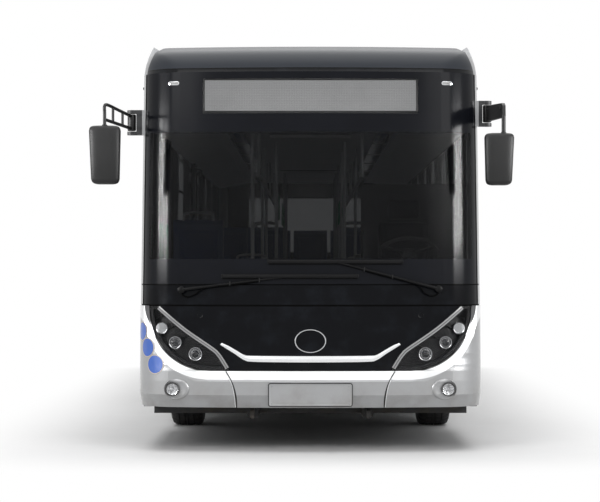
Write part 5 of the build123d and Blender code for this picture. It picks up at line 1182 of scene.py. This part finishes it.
# Section of the lip round a wheel arch: how far out from the arch, how far off the wall
LIP = [(0.000, -0.020), (-0.004, 0.002), (0.010, 0.0045), (0.024, 0.003), (0.026, -0.002)]


def arch_trims():
    """Rubber lip round each wheel arch."""
    made = Build()
    for side in (-1, 1):
        for y in (FRONT_AXLE_Y, REAR_AXLE_Y):
            path = [(y - 0.555, 0.302), (y - 0.555, 0.39)]
            path += [(y + 0.555 * cos(radians(a)), AXLE_Z + 0.555 * sin(radians(a))) for a in range(180, -1, -6)]
            path += [(y + 0.555, 0.39), (y + 0.555, 0.302)]
            rows = [[] for _ in LIP]
            for py, pz in path:
                out = Vector((0, py - y, max(pz - AXLE_Z, 0.0))).normalized()
                for row, (grow, lift) in zip(rows, LIP):
                    row.append(Vector((side * (wall_out(pz) + lift), py, pz)) + out * grow)
            made.grid(rows)
    made.piece("wheel_arch_lips", seal)


def side_markers():
    """Amber side markers, locking flaps along the skirt and their quarter-turn catches."""
    lamps, bezels, flaps, catches = Build(), Build(), Build(), Build()
    for side in (-1, 1):
        lamp_places = [-2.05, -0.75, 1.35, 3.75, 5.30]
        if side > 0:
            lamp_places.insert(0, -4.75)
        for y in lamp_places:
            x = wall_out(0.90)
            bezels.box(side * (x - 0.002), side * (x + 0.003), y - 0.062, y + 0.062, 0.893, 0.937, 0.0014)
            lamps.box(side * x, side * (x + 0.008), y - 0.054, y + 0.054, 0.899, 0.931, 0.003)
        rows = ((-2.62, -1.64), (-1.62, -0.64), (1.0, 1.96), (3.30, 4.30), (4.34, 5.60))
        for y0, y1 in rows:
            corners = [(y0, 0.452), (y1, 0.452), (y1, 0.722), (y0, 0.722)]
            ring = []
            for inset, lift in ((0.0, -0.001), (0.0025, 0.0016), (0.006, 0.0016), (0.0085, -0.001)):
                ring.append(round_outline(corners, 0.018, inset,
                                          lambda u, v: Vector((side * (HALF_WIDTH + lift), u, v)), 4))
            flaps.grid(ring, close_u=True)
            for y in (y0 + 0.16, y1 - 0.16):
                catches.turned([(-0.001, 0.016), (0.003, 0.015), (0.004, 0.011), (0.002, 0.009), (0.002, 0.0)],
                               (side * HALF_WIDTH, y, 0.690), (side, 0, 0), 20)
    lamps.piece("side_marker_lenses", amber_lens)
    bezels.piece("side_marker_bezels", trim_black)
    flaps.piece("skirt_flap_edges", trim_black)
    catches.piece("skirt_flap_catches", bare_metal)


def charging_flap():
    """Charging flap on the left side behind the front wheel, with a recessed pull."""
    made, pull = Build(), Build()
    corners = [(-2.58, 0.765), (-2.12, 0.765), (-2.12, 1.025), (-2.58, 1.025)]
    rows = [round_outline(corners, 0.03, inset, lambda u, v: Vector((HALF_WIDTH + lift, u, v)), 6)
            for inset, lift in ((0.0, -0.001), (0.003, 0.004), (0.010, 0.0055), (0.035, 0.0055))]
    made.grid(rows, close_u=True)
    made.faces.append(tuple(range(len(made.verts) - len(rows[0]), len(made.verts))))
    pull.turned([(0.004, 0.020), (0.0075, 0.020), (0.0085, 0.017), (0.006, 0.014), (0.0055, 0.0)],
                (HALF_WIDTH, -2.18, 0.895), (1, 0, 0), 28)
    made.piece("charging_flap", body_paint, slot="silver_paint")
    pull.piece("charging_flap_pull", trim_black)


# Doors

def door_details():
    """Rubber edges and inside grab bars of each door leaf."""
    width = 1.230
    for doorway, first in (("front", -5.270), ("middle", -0.520)):
        for leaf, (y0, y1, hinge) in (("a", (first + 0.018, first + width / 2 - 0.006, 1)),
                                      ("b", (first + width / 2 + 0.006, first + width - 0.018, -1))):
            body = f"{doorway}_door_leaf_{leaf}"
            rubbers, bars = Build(), Build()
            inner = y1 if hinge > 0 else y0
            back = -hinge
            rows = []
            for dx, dy in ((0.034, 0.0), (0.034, 0.0035), (0.014, 0.0045), (0.008, 0.0035), (0.008, 0.0)):
                rows.append([Vector((dx - wall_out(z), inner + back * dy * 0.6, z))
                             for z in (0.395, 1.0, 1.7, 2.367)])
            rubbers.grid(rows)
            x = 0.062 - HALF_WIDTH
            ring = []
            corners = [(y0 + 0.055, 0.520), (y1 - 0.055, 0.520), (y1 - 0.055, 2.302), (y0 + 0.055, 2.302)]
            for inset, lift in ((-0.010, 0.0005), (-0.008, 0.0030), (0.003, 0.0030), (0.004, -0.002)):
                ring.append(round_outline(corners, 0.016, inset,
                                          lambda u, v: Vector((-(wall_out(v) - 0.005 + lift), u, v)), 4))
            rubbers.grid(ring, close_u=True)
            y = (y0 + y1) / 2
            for z in (1.02, 1.62):
                bars.tube([(x + 0.020, y, z), (x + 0.048, y, z)], 0.011, 10)
                bars.turned([(0.0, 0.020), (0.004, 0.020), (0.006, 0.014)], (x + 0.021, y, z), (1, 0, 0), 16)
            bars.tube([(x + 0.048, y, 0.94), (x + 0.048, y, 1.70)], 0.015, 12)
            bars.box(x + 0.004, x + 0.022, y - 0.020, y + 0.020, 0.985, 1.655, 0.004)
            rubbers.piece(f"{doorway}_door_rubbers_{leaf}", seal, body)
            bars.piece(f"{doorway}_door_grab_bar_{leaf}", green_paint, body, slot="yellow_bar")


# Rear and roof

def rear_y(z):
    """The rear face at height z, above the lamps."""
    return REAR_Y - 0.03 * (z - 1.2)


def rear_details():
    """Rear lamp rings, number plate recess, top marker lamps, hatch louvres and its catch."""
    rings, amber, clear = Build(), Build(), Build()
    for side in (-1, 1):
        for z in (0.81, 1.05, 1.29):
            centre = (side * 1.04, 5.9945, z)
            rings.turned([(-0.002, 0.078), (0.006, 0.077), (0.008, 0.070), (0.005, 0.064)], centre,
                         (0, 1, 0), 40)
            lens = amber if z == 1.29 else clear
            lens.turned([(0.0, 0.065), (0.007, 0.060), (0.011, 0.030), (0.012, 0.0)], centre, (0, 1, 0), 40)
        for x in (0.98, 0.86):
            y = rear_y(2.66)
            clear.box(side * (x - 0.045), side * (x + 0.045), y - 0.004, y + 0.008, 2.640, 2.668, 0.003)
    rings.piece("rear_lamp_rings", bright)
    amber.piece("rear_signal_lenses", amber_lens)
    clear.piece("rear_round_lenses", red_lens, slot="red_lens")
    louvres = Build()
    for k in range(14):
        z = 0.50 + 0.028 * k
        rows = [[Vector((x, REAR_Y + dy, z + dz)) for x in (-0.62, 0.62)]
                for dz, dy in ((0.0, -0.001), (0.004, 0.0025), (0.016, 0.0025), (0.020, -0.001))]
        louvres.grid(rows)
    louvres.piece("rear_hatch_louvres", trim_black, "rear_hatch")
    plate = Build().box(-0.26, 0.26, 5.997, 6.002, 0.985, 1.105, 0.002)
    plate.piece("rear_plate_panel", plate_screw, "rear_hatch")
    catch = Build()
    for side in (-1, 1):
        catch.turned([(-0.001, 0.020), (0.004, 0.019), (0.005, 0.014), (0.002, 0.012), (0.002, 0.0)],
                     (side * 0.80, 5.998, 0.47), (0, 1, 0), 24)
    catch.piece("rear_hatch_catches", bare_metal, "rear_hatch")
    rubber_ring = Build()
    corners = [(-0.83, 1.56), (0.83, 1.56), (0.83, 2.30), (-0.83, 2.30)]
    rows = []
    for inset, lift in ((-0.006, -0.004), (-0.006, 0.003), (0.004, 0.005), (0.016, 0.003), (0.017, -0.004)):
        rows.append(round_outline(corners, 0.03, inset, lambda u, v: Vector((u, rear_y(v) + lift, v)), 5))
    rubber_ring.grid(rows, close_u=True)
    rubber_ring.piece("rear_window_rubber", seal)


def roof_unit():
    """Fan guards, fan blades and side louvres of the roof unit."""
    guards, blades, slats = Build(), Build(), Build()
    for x in (-0.42, 0.42):
        for y in (-0.9, -0.3, 0.3):
            for r in (0.045, 0.075, 0.105, 0.135, 0.165, 0.188):
                guards.turned([(-0.003, r), (0.0, r + 0.0025), (0.003, r), (0.0, r - 0.0025), (-0.003, r)],
                              (x, y, 3.224), (0, 0, 1), 40)
            for k in range(8):
                a = 2 * pi * k / 8
                guards.tube([(x + r * cos(a), y + r * sin(a), 3.226) for r in (0.04, 0.188)], 0.0022, 6)
            guards.turned([(-0.004, 0.042), (0.004, 0.040), (0.005, 0.0)], (x, y, 3.222), (0, 0, 1), 24)
            for k in range(7):
                a = 2 * pi * k / 7
                rows = []
                for r in (0.045, 0.11, 0.175):
                    twist, across = 0.5 - r, 0.24
                    rows.append([Vector((x + r * cos(a + t), y + r * sin(a + t), 3.206 + twist * 0.03 * s))
                                 for t, s in ((-across, -1), (0.0, 0), (across, 1))])
                blades.grid(rows)
    for side in (-1, 1):
        for k in range(9):
            z = 3.035 + 0.016 * k
            slats.grid([[Vector((side * (0.930 + dx), y, z + dz)) for y in (-1.15, 0.70)]
                        for dz, dx in ((0.0, -0.001), (0.003, 0.005), (0.009, 0.005), (0.011, -0.001))])
    guards.piece("roof_fan_guards", trim_black)
    blades.piece("roof_fan_blades", trim_black)
    slats.piece("roof_unit_slats", trim_black)


def roof_details():
    """Gutter strips along the roof rails and the hatch seals."""
    strips, seals = Build(), Build()
    for side in (-1, 1):
        strips.grid([[Vector((side * (1.262 + dx), y, 2.712 + dz)) for y in (-5.385, 5.74)]
                     for dz, dx in ((-0.012, -0.004), (-0.010, 0.006), (0.002, 0.008), (0.008, 0.004),
                                    (0.010, -0.006))])
    for y in (-3.6, 2.7):
        corners = [(-0.365, y - 0.365), (0.365, y - 0.365), (0.365, y + 0.365), (-0.365, y + 0.365)]
        rows = [round_outline(corners, 0.02, inset, lambda u, v: Vector((u, v, 3.001 + lift)), 4)
                for inset, lift in ((-0.008, 0.0), (-0.008, 0.012), (0.010, 0.015), (0.012, 0.0))]
        seals.grid(rows, close_u=True)
    strips.piece("gutter_strips", trim_black)
    seals.piece("roof_hatch_seals", seal)


# Each row is one level of the roof cap: z, half width, setback, corner radius.
CAP_LEVELS = [(2.800, 1.259, 0.180, 0.350), (2.900, 1.238, 0.225, 0.300), (2.965, 1.195, 0.300, 0.220),
              (3.008, 1.120, 0.430, 0.080)]
CAP_DEPTH = 0.61


def roof_cap():
    """Smooth shell of the roof cap, from the top of the windscreen up to the roof."""
    rows = []
    for z, w, s, r in smooth_path(CAP_LEVELS, 7):
        cx, reach = w - r, NOSE_RADIUS - r
        turn, cy = asin(cx / reach), s + NOSE_RADIUS - sqrt(reach ** 2 - cx ** 2)
        half = [(w, CAP_DEPTH), (w, cy)]
        round_corner = [pi / 2 + (turn - pi / 2) * k / 10 for k in range(1, 11)]
        half += [(cx + r * sin(a), cy - r * cos(a)) for a in round_corner]
        across = [turn * (1 - k / 16) for k in range(1, 17)]
        half += [(NOSE_RADIUS * sin(a), s + NOSE_RADIUS * (1 - cos(a))) for a in across]
        row = half + [(-x, y) for x, y in reversed(half[:-1])]
        rows.append([Vector((x, FRONT_Y + y, z)) for x, y in row])
    rows.append([Vector((p.x, FRONT_Y + CAP_DEPTH, p.z)) for p in rows[-1]])
    cap = Build().grid(rows).piece("roof_cap_shell", cap_finish, angle=40.0, slot="black_gloss")
    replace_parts(cap, "front_cap")


# Seats and cabin

# Middle of the steering wheel and its tilt in degrees, foot of the driver's seat, underside of the ceiling
WHEEL_CENTRE, WHEEL_TILT, DRIVER_SEAT, CEILING_Z = (0.770, -4.890, 1.465), 30.0, (0.770, -4.330, 0.600), 2.480


def puffed(form, voxel, reach, seam=None):
    """The form blown up like a stuffed cover; where seam(point) holds it stays sewn down."""
    data = bpy.data.meshes.new("pad")
    data.from_pydata([tuple(v) for v in form.verts], [], form.faces)
    pad = bpy.data.objects.new("pad", data)
    bpy.context.scene.collection.objects.link(pad)
    remesh = pad.modifiers.new("remesh", "REMESH")
    remesh.mode, remesh.voxel_size = "VOXEL", voxel
    pad.data = bpy.data.meshes.new_from_object(pad.evaluated_get(bpy.context.evaluated_depsgraph_get()))
    pad.modifiers.clear()
    start = [v.co.copy() for v in pad.data.vertices]
    cloth = pad.modifiers.new("cloth", "CLOTH")
    cloth.settings.use_pressure, cloth.settings.uniform_pressure_force = True, 4.0
    cloth.settings.effector_weights.gravity = 0.0
    if seam:
        sewn = pad.vertex_groups.new(name="sewn")
        sewn.add([i for i, p in enumerate(start) if seam(p)], 1.0, "REPLACE")
        cloth.settings.vertex_group_mass = "sewn"
    for step in range(1, 16):
        bpy.context.scene.frame_set(step)
    blown = bpy.data.meshes.new_from_object(pad.evaluated_get(bpy.context.evaluated_depsgraph_get()))
    moved = [v.co.copy() for v in blown.vertices]
    made = Build()
    made.verts = [p + (q - p) * min(1.0, reach / max((q - p).length, 1e-9)) for p, q in zip(start, moved)]
    made.faces = [tuple(face.vertices) for face in pad.data.polygons]
    bpy.data.objects.remove(pad)
    bpy.context.scene.frame_set(1)
    return made


def laid(pad, place, lean=0.0):
    """Points of a pad leaned back about X and moved to its place."""
    turn = Matrix.Rotation(lean, 3, "X")
    return [turn @ v + Vector(place) for v in pad.verts]


SEAM = 0.006


def cushion_seam(p):
    """Two channels along the driver's cushion and one across its middle, on top."""
    along = abs(abs(p.x) - 0.150) < SEAM and p.z > 0
    return along or abs(p.y + 0.02) < SEAM and abs(p.x) < 0.15 < p.z * 9


def back_seam(p):
    """Two channels up the driver's backrest and one across its middle, in front."""
    up = abs(abs(p.x) - 0.140) < SEAM and p.y < 0
    return up or abs(p.z) < SEAM and abs(p.x) < 0.14 and p.y < 0


def pad_seam(p):
    return abs(abs(p.x) - 0.125) < 0.007


def driver_seat():
    """Air-sprung driver's seat: bellows foot, shell, and stuffed cushion, backrest and headrest."""
    x, y, z = DRIVER_SEAT
    frame_parts, bellows = Build(), Build()
    foot_x, foot_y0, foot_y1 = 0.15, 0.20, 0.16
    frame_parts.box(x - 0.17, x + 0.17, y - 0.22, y + 0.18, z, z + 0.030, 0.008)
    frame_parts.box(x - 0.20, x + 0.20, y - 0.23, y + 0.22, z + 0.315, z + 0.350, 0.010)
    frame_parts.box(x - 0.205, x + 0.205, y + 0.255, y + 0.290, z + 0.400, z + 0.560, 0.010)
    for side in (-1, 1):
        stay, slide = x + side * 0.13, x + side * 0.225
        frame_parts.tube([(stay, y + 0.300, z + 1.06), (stay, y + 0.320, z + 1.16)], 0.007, 10)
        frame_parts.tube([(slide, y + 0.10, z + 0.345), (slide, y - 0.15, z + 0.345)], 0.012, 10)
    rows = []
    for k in range(13):
        grow = 0.012 if k % 2 else 0.0
        x0, x1, y0, y1 = x - foot_x - grow, x + foot_x + grow, y - foot_y0 - grow, y + foot_y1 + grow
        rows.append(round_outline([(x0, y0), (x1, y0), (x1, y1), (x0, y1)], 0.04, 0.0,
                                  lambda u, v: Vector((u, v, z + 0.028 + 0.024 * k)), 5))
    bellows.grid(rows, close_u=True)
    base = frame_parts.piece("driver_seat_frame", dash_plastic, slot="seat_cloth")
    bellows.piece("driver_seat_bellows", seal, slot="seat_cloth")
    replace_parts(base, "driver_seat")
    parts = [("cushion", (-0.230, 0.230, -0.245, 0.225, -0.045, 0.045, 0.030), (x, y - 0.015, z + 0.395), 0.0,
              cushion_seam),
             ("back", (-0.220, 0.220, -0.045, 0.040, -0.355, 0.355, 0.030), (x, y + 0.268, z + 0.775), -0.125,
              back_seam),
             ("headrest", (-0.130, 0.130, -0.035, 0.035, -0.082, 0.082, 0.026), (x, y + 0.312, z + 1.235), -0.06,
              None)]
    for name, block, place, lean, seam in parts:
        pad = puffed(Build().box(*block), 0.008, 0.010, seam)
        pad.verts = laid(pad, place, lean)
        piece = pad.piece("driver_seat_" + name, driver_cloth, angle=60.0, slot="seat_cloth")


# Each row: middle x of its seats, y at the foot of the backrests, height of the seat surface
SEATS = [((-0.985,), -2.960, 1.175), ((0.985,), -2.960, 1.175), ((0.545, 0.985), -2.050, 0.810),
         ((-0.545, -0.985), -2.050, 0.810), ((0.545, 0.985), -1.250, 0.810), ((0.545, 0.985), 1.400, 0.810),
         ((0.545, 0.985), 3.650, 1.250), ((-0.545, -0.985), 3.650, 1.250), ((0.545, 0.985), 4.450, 1.250),
         ((-0.545, -0.985), 4.450, 1.250), ((-0.960, -0.480, 0.0, 0.480, 0.960), 5.600, 1.250)]


def passenger_seats():
    """Thin cloth pads on the plastic seats, and a tube handle over each backrest beside the aisle."""
    flat = puffed(Build().box(-0.185, 0.185, -0.170, 0.170, -0.010, 0.010, 0.008), 0.011, 0.006, pad_seam)
    tall = puffed(Build().box(-0.180, 0.180, -0.010, 0.010, -0.215, 0.215, 0.008), 0.011, 0.006, pad_seam)
    cushions, backs, handles = Build(), Build(), Build()
    for xs, y, z in SEATS:
        for x in xs:
            cushions.add(laid(flat, (x, y - 0.305, z + 0.004)), flat.faces)
            backs.add(laid(tall, (x, y - 0.056, z + 0.300), -0.0997), tall.faces)
        if len(xs) < 3:
            x, out = xs[0], 0.13
            rise = [(1.0, 0.010, 0.54), (1.0, 0.016, 0.62), (0.8, 0.020, 0.66)]
            path = [(x - out * t, y + back, z + up) for t, back, up in rise]
            path += [(x + out * t, y + back, z + up) for t, back, up in reversed(rise)]
            handles.tube(smooth_path(path, 4), 0.012, 10)
    cushions.piece("seat_cushion_pads", seat_cloth, angle=60.0, slot="seat_blue")
    backs.piece("seat_back_pads", seat_cloth, angle=60.0, slot="seat_blue")
    handles.piece("seat_handles", pole_paint, slot="steel_bar")


def cabin_fittings():
    """Instruments and switches, horn pad, ceiling lights, grab loops and yellow step edges."""
    cluster, dials, keys, lights, loops, edges = (Build() for _ in range(6))
    cluster.box(0.575, 0.965, -5.10, -5.02, 1.215, 1.335, 0.012)
    cluster.box(0.560, 0.980, -5.13, -4.99, 1.330, 1.345, 0.006)
    for x in (0.68, 0.86):
        dials.turned([(0.0, 0.048), (0.004, 0.048), (0.005, 0.044), (0.002, 0.042), (0.002, 0.0)],
                     (x, -5.018, 1.275), (0, 1, 0), 32)
    for k in range(16):
        x = 0.475 + 0.030 * (k % 8) + (0.40 if k % 8 > 2 else 0.0)
        keys.box(x, x + 0.022, -4.985 + 0.034 * (k // 8), -4.957 + 0.034 * (k // 8), 1.225, 1.235, 0.003)
    tilt = Matrix.Rotation(radians(-WHEEL_TILT), 3, "X")
    centre = Vector(WHEEL_CENTRE)
    pad = Build().turned([(-0.012, 0.064), (0.004, 0.066), (0.012, 0.058), (0.016, 0.030), (0.017, 0.0)],
                         (0, 0, 0), (0, 0, 1), 40)
    pad.verts = [tilt @ v + centre for v in pad.verts]
    pad.piece("horn_pad", trim_black)
    for side in (-1, 1):
        for k in range(6):
            y = -4.30 + 1.62 * k
            half = ((-0.070, 0.000), (-0.066, 0.016), (-0.040, 0.024))
            section = half + tuple((-dx, dz) for dx, dz in reversed(half))
            lights.grid([[Vector((side * (0.62 + dx), end, CEILING_Z - dz)) for end in (y, y + 1.50)]
                         for dx, dz in section])
        for k in range(9):
            y = -2.4 + 0.72 * k
            if abs(y - 0.1) < 0.8 and side < 0:
                continue
            loops.box(side * 0.300, side * 0.312, y - 0.016, y + 0.016, 1.925, 2.06, 0.003)
            ring = [Vector((side * 0.306, y + 0.052 * cos(radians(a)), 1.880 + 0.052 * sin(radians(a))))
                    for a in range(0, 361, 20)]
            loops.tube(ring, 0.009, 8)
    for y0, y1, x0, x1, z in ((1.442, 1.470, -0.30, 0.30, 0.801), (-5.22, -4.09, -1.150, -1.115, 0.361),
                              (-0.47, 0.66, -1.150, -1.115, 0.361)):
        edges.box(x0, x1, y0, y1, z - 0.002, z + 0.003, 0.001)
    cluster.piece("instrument_hood", dash_plastic)
    dials.piece("instrument_dials", display_rim)
    keys.piece("dashboard_keys", trim_black)
    lights.piece("cabin_lights", light_cover, slot="ceiling_white")
    loops.piece("grab_loops", green_paint)
    edges.piece("step_edges", yellow_paint, slot="yellow_bar")


# Camera, floor and light

def stand(name, data):
    made = bpy.data.objects.new(name, data)
    bpy.context.scene.collection.objects.link(made)
    return made


def camera():
    lens = bpy.data.cameras.new("camera")
    lens.lens, lens.sensor_width = 119.5, 36.0
    lens.shift_x, lens.shift_y = -10.4 / 600, 19.0 / 600
    lens.clip_start, lens.clip_end = 0.5, 400.0
    eye = stand("camera", lens)
    eye.location, eye.rotation_euler = (0.0, -20.5, 1.334), (pi / 2, 0.0, 0.0)
    bpy.context.scene.camera = eye
    bpy.context.scene.view_settings.view_transform = "Standard"


def softbox(name, place, aim, width, height, power, shine_only=False):
    light = bpy.data.lights.new(name, "AREA")
    light.shape, light.size, light.size_y, light.energy = "RECTANGLE", width, height, power
    lamp = stand(name, light)
    lamp.location = place
    lamp.rotation_euler = (Vector(aim) - Vector(place)).to_track_quat("-Z", "Y").to_euler()
    lamp.visible_diffuse = not shine_only


def surroundings():
    """A pale even sky that shows white behind the bus, and a floor that keeps its shadow."""
    world = bpy.data.worlds.new("studio")
    bpy.context.scene.world = world
    f = Finish("studio", world)
    seen = f.node("LightPath", out="Is Camera Ray") | f.node("LightPath", out="Is Transmission Ray")
    seen = seen | f.node("LightPath", out="Is Glossy Ray")
    sky = f.node("Background", {}, {"Color": (1.0, 1.0, 1.0), "Strength": 0.26 + seen * 0.74})
    f.node("OutputWorld", {}, {"Surface": sky})
    g = Finish("studio_floor")
    speck = g.grain(3.0, 3.0)
    surface = g.shader(g.mix(speck, (0.88, 0.88, 0.88), (0.92, 0.92, 0.92)), 0.85, Specular_IOR_Level=0.1)
    beside, ahead = (abs(g.x) - 1.2) | 0.0, (-5.9 - g.y) | (g.y - 6.0) | 0.0
    away = g.step((beside * beside + ahead * ahead) ** 0.5, 0.25, 1.7)
    straight = g.node("LightPath", out="Is Camera Ray") | g.node("LightPath", out="Is Transmission Ray")
    straight = straight | g.node("LightPath", out="Is Glossy Ray")
    pale = g.node("Emission", {}, {"Color": (1.0, 1.0, 1.0), "Strength": 1.0})
    surface = two(g, away * straight, surface, pale)
    data = bpy.data.meshes.new("studio_floor")
    data.from_pydata([(-150, -120, 0), (150, -120, 0), (150, 250, 0), (-150, 250, 0)], [], [(0, 1, 2, 3)])
    data.materials.append(g.finished(surface))
    stand("studio_floor", data)


camera()
surroundings()
softbox("front_key", (-9.0, -19.0, 9.0), (0.0, -5.0, 1.6), 7.0, 7.0, 700.0)
softbox("front_fill", (9.0, -18.0, 7.0), (0.0, -5.0, 1.5), 7.0, 7.0, 550.0)
softbox("top_light", (0.0, -2.0, 13.0), (0.0, -2.0, 0.0), 14.0, 24.0, 1900.0)
softbox("corner_light_left", (6.5, -8.4, 2.75), (1.1, -5.8, 1.9), 3.0, 1.25, 600.0, True)
softbox("corner_light_right", (-6.5, -8.4, 2.75), (-1.1, -5.8, 1.9), 3.0, 1.25, 600.0, True)

lamp_strips()
flap_bar()
blank_badge()
screen_seals()
head_lamps()
fog_lamps()
bumper_seams()
marker_lamps()
display_frame()
plate_panel()
round_signs()
wiper_fittings()
wiper_blades()
for name in MIRROR_HEADS:
    mirror_details(name)
wheels()
window_trim()
arch_trims()
side_markers()
charging_flap()
door_details()
rear_details()
roof_unit()
roof_details()
roof_cap()
driver_seat()
passenger_seats()
cabin_fittings()
